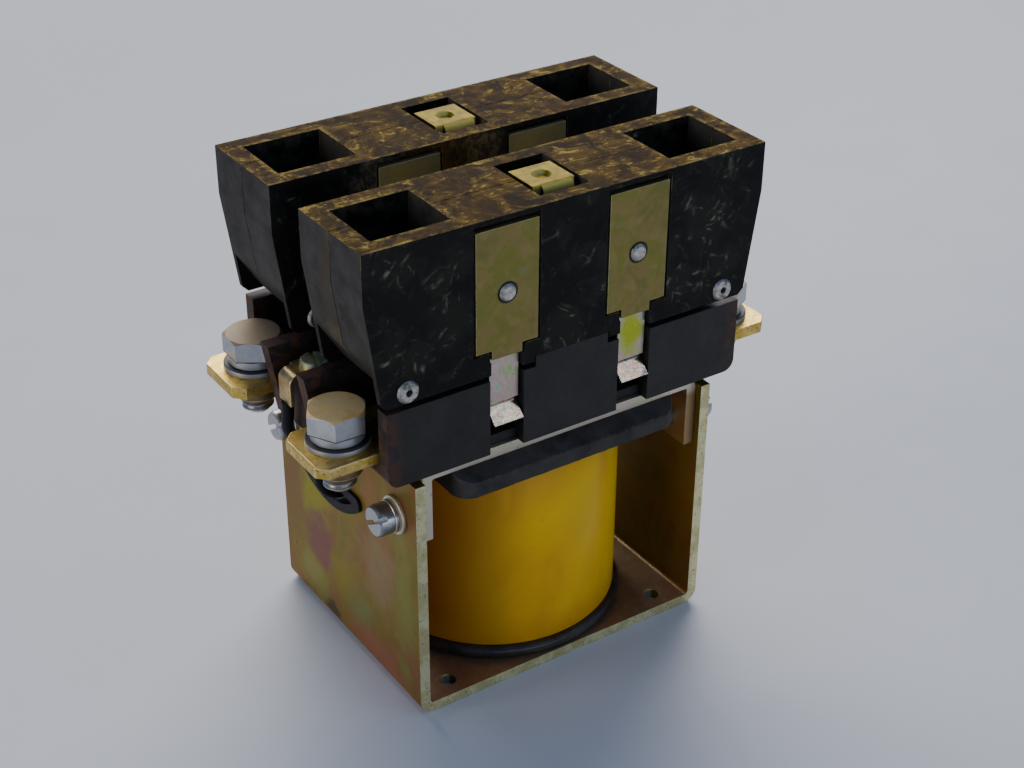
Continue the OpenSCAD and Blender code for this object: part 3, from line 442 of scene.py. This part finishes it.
def gold(name, low, high, rough, grain, lip=0.0, edges=0.65):
    """Yellow brass tone metal between two colours. Grain is how pitted it is, edges how bright
    its edges are worn, and lip how strongly a painted reflection brightens its front faces."""
    f = Finish(name)
    clouds = f.noise(3.5, 4.0, 0.6, 0.6, shift=(2, 8, 5))
    colour = f.ramp(clouds, (0.34, low), (0.66, high))
    pits = f.spots(0.55, 0.68, 0.9, 5.0, 0.65)
    side = 1 - f.math("ABSOLUTE", f.facing("Z"))
    dark = tuple(0.30 * c for c in low)
    colour = f.blend(colour, dark, pits * (0.25 + 0.6 * side) * grain)
    lime = f.spots(0.52, 0.66, 4, 2.0, shift=(9, 1, 6))
    colour = f.blend(colour, (0.9 * low[0], low[1], 0.4 * low[2]), lime * 0.5 * grain)
    worn = f.wear() * f.spots(0.3, 0.55, 1.5, 2.0)
    colour = f.blend(colour, (0.95, 0.76, 0.38), worn * edges)
    metal = 0.95
    if lip:
        # Painted reflection: the front faces are painted bright yellow and made less metallic.
        front = f.step(0 - f.facing("Y"), 0.25, 0.7) * lip
        colour = f.blend(colour, (1.0, 0.80, 0.16), front)
        metal = 0.95 - 0.6 * front
    f.paint(colour, rough + 0.2 * f.noise(1.2, 4.0) + 0.2 * grain * pits, metal)
    f.relief(f.noise(0.6, 4.0) + 0.8 * f.noise(3, 2.0), 0.08 * grain + 0.04, 0.5)
    return f


def plain_metal(name, low, high, rough):
    """Turned or stamped metal inside the contactor, with faint tool lines."""
    f = Finish(name, Metallic=0.95)
    clouds = f.noise(5, 4.0, 0.6)
    lines = f.noise(0.35, 2.0, 0.5, stretch=(0.2, 0.2, 1))
    colour = f.ramp(clouds, (0.35, low), (0.68, high))
    colour = f.blend(colour, high, f.step(lines, 0.5, 0.7) * 0.35)
    f.paint(colour, rough + 0.2 * clouds)
    f.relief(lines, 0.02, 0.5)
    return f


# Finishes of the moulded and soft parts

def base_phenolic():
    """Black phenolic of the pole bases, rubbed to a red brown at the ends."""
    f = Finish("black_phenolic", Specular_IOR_Level=0.35)
    colour = f.ramp(
        f.noise(9, 4.0, 0.6),
        (0.3, (0.0160, 0.0132, 0.0102)),
        (0.7, (0.0290, 0.0245, 0.0190)),
    )
    outer = f.step(f.off_middle("X"), 44.5, 50.2)
    ends = outer * f.spots(0.36, 0.60, 4, 4.0, 0.6, 1.0, shift=(8, 1, 3))
    colour = f.blend(colour, (0.125, 0.045, 0.018), ends * 0.75)
    dust = f.spots(0.56, 0.74, 2.6, 5.0, 0.7, 1.2, stretch=(1, 1, 0.6), shift=(5, 2, 7))
    colour = f.blend(colour, (0.040, 0.036, 0.030), dust * (0.35 + 0.4 * outer))
    scratch = f.spots(0.69, 0.74, 2.2, 2.0, 0.5, 2.5, stretch=(1, 1, 3))
    colour = f.blend(colour, (0.060, 0.056, 0.050), scratch * 0.5)
    worn = f.wear() * f.spots(0.42, 0.62, 1.8, 4.0, 0.65)
    colour = f.blend(colour, (0.13, 0.075, 0.045), worn * 0.7)
    f.paint(colour, 0.44 + 0.22 * f.noise(2.5, 4.0) + 0.14 * ends)
    f.relief(f.noise(0.7, 4.0) + 0.6 * scratch, 0.05, 0.4)
    return f


def chute_phenolic(name, stains=(), clusters=()):
    """Fibre filled phenolic: black faces with tufts of pale fibre, a worn brown top, gold edges.

    A stain is a middle, a reach, a stretch, a colour and a share. A cluster of tufts is a middle
    and a reach."""
    f = Finish(name, Specular_IOR_Level=0.13)
    top = f.step(f.facing("Z"), 0.5, 0.9)
    end = f.step(f.math("ABSOLUTE", f.facing("X")), 0.6, 0.9)

    black = f.ramp(
        f.noise(11, 4.0, 0.6),
        (0.3, (0.0075, 0.0063, 0.0050)),
        (0.7, (0.0140, 0.0120, 0.0098)),
    )
    fibre = (13.0, 1.5, 1.5)
    tufts = f.fibres((0, 0.75, 0), fibre, (0, 0, 0))
    for tilt, shift in ((-0.5, (31, 17, 5)), (1.7, (13, 5, 41)), (2.5, (57, 29, 23))):
        tufts = f.most(tufts, f.fibres((0, tilt, 0), fibre, shift))
    haze = f.spots(0.50, 0.66, 7.5, 4.0, 0.62, 0.5, shift=(4, 9, 14))
    for centre, reach in clusters:
        haze = f.most(haze, f.patch(centre, reach, (1, 0.2, 1)))
    side = f.blend(black, (0.027, 0.026, 0.016), haze * 0.6)
    pale = f.ramp(f.noise(3, 2.0), (0.4, (0.100, 0.097, 0.055)), (0.6, (0.200, 0.195, 0.130)))
    side = f.blend(side, pale, tufts * (0.10 + 0.85 * haze) * (1 - 0.8 * end))

    smooth = f.ramp(
        f.noise(6, 5.0, 0.62, shift=(9, 9, 1)),
        (0.32, (0.029, 0.0255, 0.0215)),
        (0.70, (0.068, 0.060, 0.051)),
    )
    low_band = 1 - f.step(f.along("Z"), 100.8, 102.4)
    smooth = f.blend(smooth, (0.024, 0.019, 0.013), low_band * 0.6)
    smooth = f.blend(smooth, (0.085, 0.078, 0.070), f.spots(0.64, 0.74, 0.7) * 0.4)
    side = f.blend(side, smooth, end * 0.9)

    brown = f.ramp(
        f.noise(6.5, 5.0, 0.65, 0.8, shift=(6, 2, 0)),
        (0.36, (0.022, 0.0085, 0.0003)),
        (0.50, (0.042, 0.0175, 0.0005)),
        (0.64, (0.080, 0.0390, 0.0015)),
    )
    rubbed = f.spots(0.44, 0.61, 8, 4.0, 0.65, 1.2, shift=(1, 13, 0))
    thread = (9.0, 1.0, 1.2)
    threads = f.fibres((0, 0, 0.25), thread, (7, 3, 0), 7)
    for tilt, shift in ((-0.45, (23, 41, 0)), (1.3, (47, 11, 0))):
        threads = f.most(threads, f.fibres((0, 0, tilt), thread, shift, 7))
    scrapes = f.spots(0.53, 0.62, 3.2, 5.0, 0.72, 1.6, stretch=(0.5, 1.3, 1)) * rubbed
    brown = f.blend(brown, (0.190, 0.098, 0.004), rubbed * 0.5)
    bright = f.most(threads, scrapes) * (0.05 + 0.65 * rubbed)
    brown = f.blend(brown, (0.60, 0.43, 0.085), bright)
    specks = f.spots(0.60, 0.70, 0.8, 4.0, 0.6, shift=(6, 6, 6))
    brown = f.blend(brown, (0.010, 0.007, 0.004), specks * 0.6)

    # How far a point is past the pocket's walls, which is below 0 inside the pocket
    across = f.math("ABSOLUTE", f.off_middle("Y") - POLE_Y)
    along = f.off_middle("X")
    past_end = f.math("ABSOLUTE", along - POCKET_X) - POCKET_HALF_LENGTH
    past = f.most(past_end, across - POCKET_HALF_DEPTH)
    inside = (1 - f.step(past, 0.05, 0.15)) * f.spots(0.42, 0.62, 4, 4.0, 0.65)
    side = f.blend(side, (0.050, 0.040, 0.026), inside)
    rim = f.step(past, -0.2, 0.1) * (1 - f.step(past, 0.3, 1.6))
    from_edge = f.math("MINIMUM", CHUTE_HALF_LENGTH - along, CHUTE_HALF_DEPTH - across)
    rubbed_edge = f.most(rim, 1 - f.step(from_edge, 0.2, 1.2))
    rubbed_edge = rubbed_edge * f.spots(0.46, 0.60, 3.0, 5.0, 0.7, 0.5, shift=(12, 3, 3))
    brown = f.blend(brown, (0.36, 0.235, 0.050), rubbed_edge * 0.75)

    colour = f.blend(side, brown, top)
    crumbs = 0.25 + 0.75 * f.spots(0.44, 0.58, 2.0, 5.0, 0.7, 1.2, stretch=(1, 1, 0.7))
    for centre, reach, stretch, shade, share in stains:
        stain = f.patch(centre, reach, stretch) * crumbs * share * (1 - top)
        colour = f.blend(colour, shade, stain)
    high = f.step(f.along("Z"), 118, 129)
    chips = f.spots(0.42, 0.58, 2.6, 5.0, 0.7, 0.5, shift=(3, 3, 3))
    colour = f.blend(colour, (0.66, 0.50, 0.170), f.wear() * chips * (0.22 + 0.78 * high))
    f.paint(colour, 0.50 + 0.2 * f.noise(1.8, 4.0) + 0.24 * top)
    f.relief(f.noise(0.6, 4.0) * (0.4 + top) + 0.8 * scrapes * top + 0.3 * tufts, 0.12, 0.5)
    return f


def bobbin_fibre():
    """Rough black fibre of the coil flanges, dusty where it was cut."""
    f = Finish("black_fibre", Specular_IOR_Level=0.45)
    colour = f.ramp(
        f.noise(6, 5.0, 0.65),
        (0.3, (0.016, 0.0132, 0.0100)),
        (0.7, (0.066, 0.054, 0.041)),
    )
    low = 1 - f.step(f.along("Z"), 20, 40)
    colour = f.blend(colour, (0.16, 0.15, 0.14), f.spots(0.66, 0.76, 0.8) * 0.5)
    dust = f.wear() * f.spots(0.46, 0.66, 1.5, 5.0, 0.7)
    colour = f.blend(colour, (0.12, 0.115, 0.11), dust * 0.7)
    f.paint(colour, 0.58 + 0.2 * f.noise(1.5, 4.0) - 0.36 * low)
    f.relief(f.noise(1.2, 5.0, 0.65) + 0.5 * f.noise(4, 2.0), 0.28, 0.55)
    return f


def rubber(name):
    """Black rubber with a soft sheen and pale dust specks."""
    f = Finish(name, Specular_IOR_Level=0.2)
    clouds = f.noise(3, 4.0, 0.6)
    colour = f.ramp(clouds, (0.3, (0.003, 0.003, 0.003)), (0.7, (0.008, 0.007, 0.007)))
    colour = f.blend(colour, (0.10, 0.095, 0.09), f.spots(0.70, 0.78, 0.5) * 0.4)
    f.paint(colour, 0.36 + 0.25 * f.noise(1.5, 4.0))
    f.relief(f.noise(0.5, 4.0), 0.04, 0.4)
    return f


def amber_film():
    """Amber film wrapped round the winding, with painted shade on its left and far right, a
    painted highlight band right of the middle, and darker towards the bottom.
    """
    f = Finish("amber_film", Specular_IOR_Level=0.25)
    colour = f.ramp(
        f.noise(20, 3.0, 0.5, 0.8, stretch=(1, 1, 0.7)),
        (0.32, (0.84, 0.40, 0.001)),
        (0.50, (0.95, 0.50, 0.001)),
        (0.68, (1.00, 0.56, 0.002)),
    )
    # Painted shade on the left of the winding.
    left = f.step(0 - f.along("X"), 6, 30)
    colour = f.blend(colour, (0.40, 0.095, 0.0004), left * 0.85)
    # Painted highlight: a bright band right of the middle of the winding.
    right = f.step(f.along("X"), 14, 18) * (1 - f.step(f.along("X"), 21, 24))
    colour = f.blend(colour, (1.0, 0.62, 0.008), right * 0.6)
    # Painted shade on the far right of the winding.
    far_right = f.step(f.along("X"), 23.5, 27)
    colour = f.blend(colour, (0.52, 0.20, 0.001), far_right * 0.8)
    low = 1 - f.step(f.along("Z"), 7, 16)
    colour = f.blend(colour, (0.70, 0.30, 0.001), low * 0.45)
    smudge = f.spots(0.62, 0.78, 5, 4.0, 0.65, 1.6, stretch=(1, 1, 2.2), shift=(9, 4, 7))
    colour = f.blend(colour, (0.45, 0.19, 0.001), smudge * 0.45)
    bands = f.noise(1.6, 2.0, 0.5, stretch=(0.06, 0.06, 1))
    f.paint(colour, 0.30 + 0.16 * f.noise(3.5, 4.0))
    f.relief(0.3 * bands + 0.6 * f.noise(9, 2.0), 0.05, 0.35)
    return f


# Mesh helpers

def place_mesh(name, bm, finish, body, stands_for=(), smooth=35):
    """Makes a finished piece of a mesh, in its place on its body."""
    mesh = bpy.data.meshes.new(name)
    bm.to_mesh(mesh)
    bm.free()
    mesh.materials.append(finish.material)
    mesh.shade_smooth()
    mesh.set_sharp_from_angle(angle=radians(smooth))
    piece = bpy.data.objects.new(name, mesh)
    bpy.context.scene.collection.objects.link(piece)
    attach(piece, body)
    if stands_for:
        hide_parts(*stands_for)
    return piece


def whole_mesh(node):
    """A copy of a solid's mesh with its triangles joined into whole faces."""
    bm = bmesh.new()
    bm.from_mesh(frame["nodes"][node].data)
    bmesh.ops.remove_doubles(bm, verts=bm.verts, dist=0.002 * MM)
    bmesh.ops.dissolve_limit(bm, angle_limit=radians(0.4), verts=bm.verts, edges=bm.edges)
    return bm


def nibble(bm, crests, wear, ragged):
    """Takes small bites out of the rounded edges, up to ragged millimetres deep."""
    bite = 1.6 * MM
    large, small = 3.1 * MM, 1.3 * MM
    bites = {e: round(e.calc_length() / bite) for e in crests if e.calc_length() > 2 * bite}
    for count in sorted(set(bites.values())):
        alike = [e for e in bites if bites[e] == count]
        bmesh.ops.bisect_edges(bm, edges=alike, cuts=count - 1)
    bm.normal_update()
    for vert in bm.verts:
        if vert[wear] == 1:
            depth = noise.noise(vert.co / large) + 0.5 * noise.noise(vert.co / small)
            vert.co -= vert.normal * min(max(0.0, depth), 1.0) * ragged * MM


def break_edges(bm, width, sharpest, ragged):
    """Rounds the sharp edges a little and marks the middle of each round for the wear."""
    wear = bm.verts.layers.float.new("edge_wear")
    sharp = [
        e for e in bm.edges if e.is_manifold and e.calc_face_angle(0) > radians(sharpest)
    ]
    made = bmesh.ops.bevel(
        bm, geom=sharp, offset=width * MM, offset_type="OFFSET", affect="EDGES", segments=2,
        profile=0.5, material=-1, clamp_overlap=True,
    )
    rounds = set(made["faces"])
    for vert in made["verts"]:
        if all(face in rounds for face in vert.link_faces):
            vert[wear] = 1.0
    if ragged:
        crests = [e for e in bm.edges if e.verts[0][wear] == 1 and e.verts[1][wear] == 1]
        nibble(bm, crests, wear, ragged)


def thread_core(bm, low, high):
    """Turns the lower ends of the bolts down to the core of their thread."""
    for height in (low, high - 0.4, high):
        bmesh.ops.bisect_plane(
            bm, geom=bm.verts[:] + bm.edges[:] + bm.faces[:], plane_co=(0, 0, height * MM),
            plane_no=(0, 0, 1), dist=1e-7,
        )
    core = THREAD_CORE_R / THREAD_R
    for x, y in BOLTS:
        centre = Vector((x * MM, y * MM, 0))
        for vert in bm.verts:
            away = Vector((vert.co.x, vert.co.y, 0)) - centre
            if away.length < 2 * THREAD_R * MM and vert.co.z < (high - 0.2) * MM:
                shrink = core if vert.co.z > (low - 0.1) * MM else 0.92 * core
                vert.co.x = centre.x + away.x * shrink
                vert.co.y = centre.y + away.y * shrink


def finished(node, finish, width, sharpest=30, ragged=0.0, lift=None, tip=None):
    """The node's own shape with its edges broken.

    Tip gives the heights between which bolt ends are turned down. Lift gives a height and how far
    up the points at that height move."""
    bm = whole_mesh(node)
    if tip:
        thread_core(bm, *tip)
    if lift:
        for vert in bm.verts:
            if abs(vert.co.z - lift[0] * MM) < 0.01 * MM:
                vert.co.z += lift[1] * MM
    break_edges(bm, width, sharpest, ragged)
    piece = place_mesh(node + "_finished", bm, finish, BODY_OF[node], [node])
    flat = piece.modifiers.new("flat_faces", "WEIGHTED_NORMAL")
    flat.keep_sharp = True


def line_of(bm, outline, centre=(0, 0, 0)):
    """Vertices and edges of an outline of radius and height pairs, beside an upright axis."""
    x, y, z = centre
    verts = [bm.verts.new((x + r * MM, y, z + h * MM)) for r, h in outline]
    return verts + [bm.edges.new(pair) for pair in zip(verts, verts[1:])]


def turned_shape(bm, outline, steps):
    """A closed turned shape."""
    bmesh.ops.spin(
        bm, geom=line_of(bm, outline), cent=(0, 0, 0), axis=(0, 0, 1), angle=2 * pi,
        steps=steps, use_merge=True,
    )
    bmesh.ops.remove_doubles(bm, verts=bm.verts, dist=0.001 * MM)
    bmesh.ops.recalc_face_normals(bm, faces=bm.faces)


def wound_spring(name, node, y, finish, low, high, radius, wire, turns):
    """A spring wound from low to high round x = 0 and y, which is in metres.

    Its end turns lie close, as those of ground springs do."""
    bm = bmesh.new()
    start = Matrix.Translation((radius * MM, y, (low + wire / 2) * MM))
    start = start @ Matrix.Rotation(pi / 2, 4, "X")
    ring = bmesh.ops.create_circle(bm, segments=12, radius=wire / 2 * MM, matrix=start)
    live = ring["verts"] + list({e for v in ring["verts"] for e in v.link_edges})
    close = wire * 1.02
    end_turns = (0.75, 0.75 * close)
    rise = high - low - wire - 2 * end_turns[1]
    for sweep, climb in (end_turns, (turns - 1.5, rise), end_turns):
        steps = round(sweep * 28)
        made = bmesh.ops.spin(
            bm, geom=live, cent=(0, y, 0), axis=(0, 0, 1), dvec=(0, 0, climb * MM / steps),
            angle=2 * pi * sweep, steps=steps,
        )
        live = made["geom_last"]
    bmesh.ops.remove_doubles(bm, verts=bm.verts, dist=0.001 * MM)
    bmesh.ops.holes_fill(bm, edges=[e for e in bm.edges if e.is_boundary])
    bmesh.ops.recalc_face_normals(bm, faces=bm.faces)
    return place_mesh(name, bm, finish, "armature", [node])


def screw_thread(bm, x, y, low, high):
    """The ridges of a bolt's thread, wound up from low to high."""
    steps = 28
    turns = (high - low) / THREAD_PITCH - 1
    ridge = (
        (THREAD_CORE_R, 0), (THREAD_R, 0.42 * THREAD_PITCH), (THREAD_R, 0.58 * THREAD_PITCH),
        (THREAD_CORE_R, THREAD_PITCH),
    )
    bmesh.ops.spin(
        bm, geom=line_of(bm, ridge, (x * MM, y * MM, low * MM)), cent=(x * MM, y * MM, 0),
        axis=(0, 0, 1), dvec=(0, 0, THREAD_PITCH * MM / steps), angle=2 * pi * turns,
        steps=round(turns * steps),
    )
    bmesh.ops.remove_doubles(bm, verts=bm.verts, dist=0.004 * MM)
    bmesh.ops.recalc_face_normals(bm, faces=bm.faces)


# Leads

rubber_lead = rubber("lead_rubber")
LEAD_ROUTE = (
    (-31.9, 4, 44.7), (-36, 4, 44.7), (-40, 4, 44.7), (-43.2, 4, 45), (-45.4, 4, 46),
    (-47, 4, 47.9), (-47.8, 4, 50.4), (-48, 3.9, 53.8), (-48.4, 3.8, 57.6), (-49.5, 3.5, 61.1),
    (-51.7, 3, 63.7), (-54.4, 2.4, 65.9), (-56.4, 1.6, 69), (-57, 0.6, 72.4), (-57, 0, 75.2),
    (-57, 0, 77.8),
)


def coil_lead(node, side):
    """A sleeved lead from the winding out through the wall's slot and up to its tab."""
    points = [(side * x * MM, y * MM, z * MM) for x, y, z in LEAD_ROUTE]
    line = bpy.data.curves.new(node + "_line", "CURVE")
    line.dimensions = "3D"
    line.bevel_depth = 1.48 * MM
    line.bevel_resolution = 4
    line.resolution_u = 6
    line.use_fill_caps = True
    spline = line.splines.new("BEZIER")
    spline.bezier_points.add(len(points) - 1)
    for knot, point in zip(spline.bezier_points, points):
        knot.co = point
        knot.handle_left_type = knot.handle_right_type = "AUTO"
    line.materials.append(rubber_lead.material)
    lead = bpy.data.objects.new(node + "_sleeve", line)
    bpy.context.scene.collection.objects.link(lead)
    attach(lead, BODY_OF[node])
    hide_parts(node)


coil_lead("coil_lead_left", 1)
coil_lead("coil_lead_right", -1)

# Yoke, bracket and solenoid

pale = zinc_pale()
soft_iron = plain_metal("soft_iron", (0.30, 0.29, 0.27), (0.46, 0.45, 0.43), 0.34)
steel_spring = plain_metal("spring_wire", (0.36, 0.35, 0.33), (0.56, 0.55, 0.52), 0.28)
finished("yoke_frame", chromate_yellow(), 0.35)
finished("top_bracket", pale, 0.25)
finished("coil_bobbin", bobbin_fibre(), 0.45, ragged=0.35)
finished("fixed_core", soft_iron, 0.3)
finished("plunger", soft_iron, 0.3)
finished("wall_grommets", rubber("grommet_rubber"), 0.35)

coil = bmesh.new()
winding_outline = (
    (18.6, 6.05), (32.1, 6.05), (32.6, 6.75), (32.6, 59.5), (32.1, 60.15), (18.6, 60.15),
    (18.6, 6.05),
)
turned_shape(coil, winding_outline, 144)
place_mesh(
    "film_wrapped_winding", coil, amber_film(), "housing", ["coil_winding"], 50,
)

back_spring = wound_spring(
    "return_spring_wound", "return_spring", 0, steel_spring,
    low=15, high=43.3, radius=5.4, wire=1.4, turns=8,
)
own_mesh(back_spring)

# Terminals

bolt_zinc = zinc_bright("bolt_zinc", 0.9, (SPRING_WASHER_TOP_Z,))
washer_zinc = zinc_bright("washer_zinc", 0.3, (FLAT_WASHER_TOP_Z, SPRING_WASHER_TOP_Z), 1.0)
bright = zinc_bright("bright_zinc", 0.15)
bar_gold = gold("bar_brass", (0.60, 0.39, 0.090), (0.88, 0.62, 0.190), 0.32, 1.2)
tab_gold = gold(
    "tab_brass", (0.105, 0.069, 0.0008), (0.220, 0.160, 0.0035), 0.46, 0.3, lip=0.95, edges=0.1,
)
coil_tab_gold = gold("coil_tab_brass", (0.50, 0.30, 0.16), (0.72, 0.56, 0.22), 0.28, 0.6)
screw_gold = gold("coil_tab_screw_zinc", (0.50, 0.50, 0.26), (0.78, 0.74, 0.44), 0.30, 0.4)
bronze = gold("weld_nut_metal", (0.16, 0.11, 0.06), (0.30, 0.21, 0.11), 0.42, 0.9)
for terminal in ("front_left", "front_right", "rear_left", "rear_right"):
    finished(terminal + "_terminal", bar_gold, 0.45)
bolt_tip = (BOLT_CHAMFER_Z, CORE_TOP_Z)
finished("terminal_bolts", bolt_zinc, 0.22, sharpest=20, tip=bolt_tip)
finished("terminal_spring_washers", washer_zinc, 0.35)
finished("terminal_flat_washers", washer_zinc, 0.35)
finished("terminal_nuts", bronze, 0.3)
finished("terminal_fixing_screws", bright, 0.2)
finished("side_screws", bright, 0.3)
finished("side_spring_washers", bright, 0.2)
finished("side_flat_washers", pale, 0.2)

threads = bmesh.new()
for x, y in BOLTS:
    screw_thread(threads, x, y, THREAD_LOW_Z, THREAD_TOP_Z)
place_mesh("bolt_threads", threads, bright, "housing")

# Pole bases, coil terminal blocks and their metal

black = base_phenolic()
for moulding in (
    "front_base_moulding", "rear_base_moulding", "left_terminal_block", "right_terminal_block",
):
    finished(moulding, black, 0.35, ragged=0.2)
finished("moulding_screws", bright, 0.2)
for tab in ("left_coil_tab", "right_coil_tab"):
    finished(tab, coil_tab_gold, 0.3)
finished("coil_tab_screws", screw_gold, 0.3)

# Moving contacts

copper = plain_metal("contact_copper", (0.50, 0.22, 0.12), (0.68, 0.34, 0.20), 0.30)
silver = plain_metal("contact_silver", (0.56, 0.55, 0.52), (0.76, 0.75, 0.71), 0.34)
finished("crosshead", black, 0.3)
finished("crosshead_nut", bright, 0.2)
for pole, y in (("front", -POLE_Y * MM), ("rear", POLE_Y * MM)):
    finished(pole + "_stirrup", tab_gold, 0.3)
    finished(pole + "_bridge", copper, 0.3)
    finished(pole + "_bridge_tips", silver, 0.3)
    spring = pole + "_contact_spring"
    wound = wound_spring(
        spring + "_wound", spring, y, steel_spring,
        low=89, high=128.6, radius=3.9, wire=1.2, turns=11,
    )
    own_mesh(wound)
finished("stirrup_rivets", bright, 0.2)
finished("fixed_contact_tips", silver, 0.3)

# Arc chutes

front_tufts = tuple(
    ((x, FRONT_FACE_Y, z), reach)
    for x, z, reach in (
        (-3, 97.5, 7), (-33, 108, 8), (-46, 124, 6), (-42, 101, 6), (38, 113, 9), (31, 99, 6),
        (9, 105, 4), (-31, 122, 5), (44, 101, 6),
    )
)
split_mottle = (
    ((-54.5, -20, 124), 7, (0.5, 1.5, 0.6), (0.085, 0.052, 0.022), 0.9),
    ((-54, -17.5, 112), 8, (0.5, 1.3, 0.45), (0.062, 0.044, 0.024), 0.75),
    ((-52.5, -18.5, 102), 5, (0.5, 1, 0.8), (0.125, 0.092, 0.046), 0.85),
)
amber_stains = (
    ((-6, GAP_FACE_Y, 124), 11, (0.7, 0.5, 1), (0.150, 0.070, 0.012), 0.95),
    ((2, GAP_FACE_Y, 125.5), 6, (0.8, 0.5, 1), (0.280, 0.180, 0.070), 0.7),
    ((-28.5, GAP_FACE_Y, 125), 6, (0.9, 0.5, 1), (0.180, 0.145, 0.085), 0.8),
)
chute_finishes = {
    "front_chute_outer_half": chute_phenolic("tufted_chute_phenolic", clusters=front_tufts),
    "front_chute_inner_half": chute_phenolic("mottled_chute_phenolic", split_mottle),
    "rear_chute_inner_half": chute_phenolic("stained_chute_phenolic", amber_stains),
    "rear_chute_outer_half": chute_phenolic("chute_phenolic"),
}
olive = {"outer": zinc_olive("olive_plate_zinc"), "inner": zinc_olive("inner_plate_zinc", 0.9)}
rainbow = spring_steel()
rivet_metal = aluminium()
recess_lift = (PLATE_RECESS_TOP_Z, 0.9)
for half, finish in chute_finishes.items():
    finished(half, finish, 0.42, ragged=0.3, lift=recess_lift)
for pole, side in (("front", "outer"), ("front", "inner"), ("rear", "inner"), ("rear", "outer")):
    finished(f"{pole}_{side}_plates", olive[side], 0.15)
    finished(f"{pole}_{side}_clips", rainbow, 0.12)
finished("chute_eyelets", rivet_metal, 0.2)
finished("plate_rivets", rivet_metal, 0.25)


# Floor and light, in metres

def floor_paint():
    """Pale blue grey sheet with a satin face, with painted shade that darkens it towards the back.
    """
    f = Finish("pale_floor", Specular_IOR_Level=0.35)
    # Painted shade: the sheet darkens towards the back.
    far = f.step(f.along("Y") + 80 * f.noise(160, 3.0, 0.5), -250, 550)
    colour = f.blend((0.74, 0.745, 0.76), (0.44, 0.455, 0.475), far)
    f.paint(colour, 0.42 + 0.08 * f.noise(30))
    return f


ground = bmesh.new()
bmesh.ops.create_grid(ground, x_segments=2, y_segments=2, size=3)
floor_mesh = bpy.data.meshes.new("floor")
ground.to_mesh(floor_mesh)
ground.free()
floor_mesh.materials.append(floor_paint().material)
floor = bpy.data.objects.new("floor", floor_mesh)
bpy.context.scene.collection.objects.link(floor)


def soft_light(name, spot, aim, size, watts, colour):
    lamp = bpy.data.lights.new(name, "AREA")
    lamp.shape = "RECTANGLE"
    lamp.size, lamp.size_y = size
    lamp.energy = watts
    lamp.color = colour
    made = bpy.data.objects.new(name, lamp)
    made.location = spot
    made.rotation_euler = (Vector(aim) - Vector(spot)).to_track_quat("-Z", "Y").to_euler()
    bpy.context.scene.collection.objects.link(made)


warm, cool, daylight = (1.0, 0.98, 0.95), (0.92, 0.96, 1.0), (1.0, 0.97, 0.92)
soft_light("window", (0.60, 1.20, 0.95), (0, 0, 0.05), (1.9, 1.0), 34, daylight)
soft_light("left_wall", (-1.30, 0.05, 0.42), (-0.1, 0, 0.04), (0.8, 0.5), 6.5, warm)
soft_light("room", (0.1, -1.6, 0.26), (0, 0, 0.08), (1.6, 0.4), 4.0, cool)
soft_light("lamp", (0.75, -0.85, 1.15), (0, 0, 0.08), (0.4, 0.4), 1.0, warm)

world = bpy.data.worlds.new("studio")
world.use_nodes = True
sky = world.node_tree.nodes["Background"].inputs
sky["Color"].default_value = (0.14, 0.40, 1.0, 1)
sky["Strength"].default_value = 0.27
bpy.context.scene.world = world
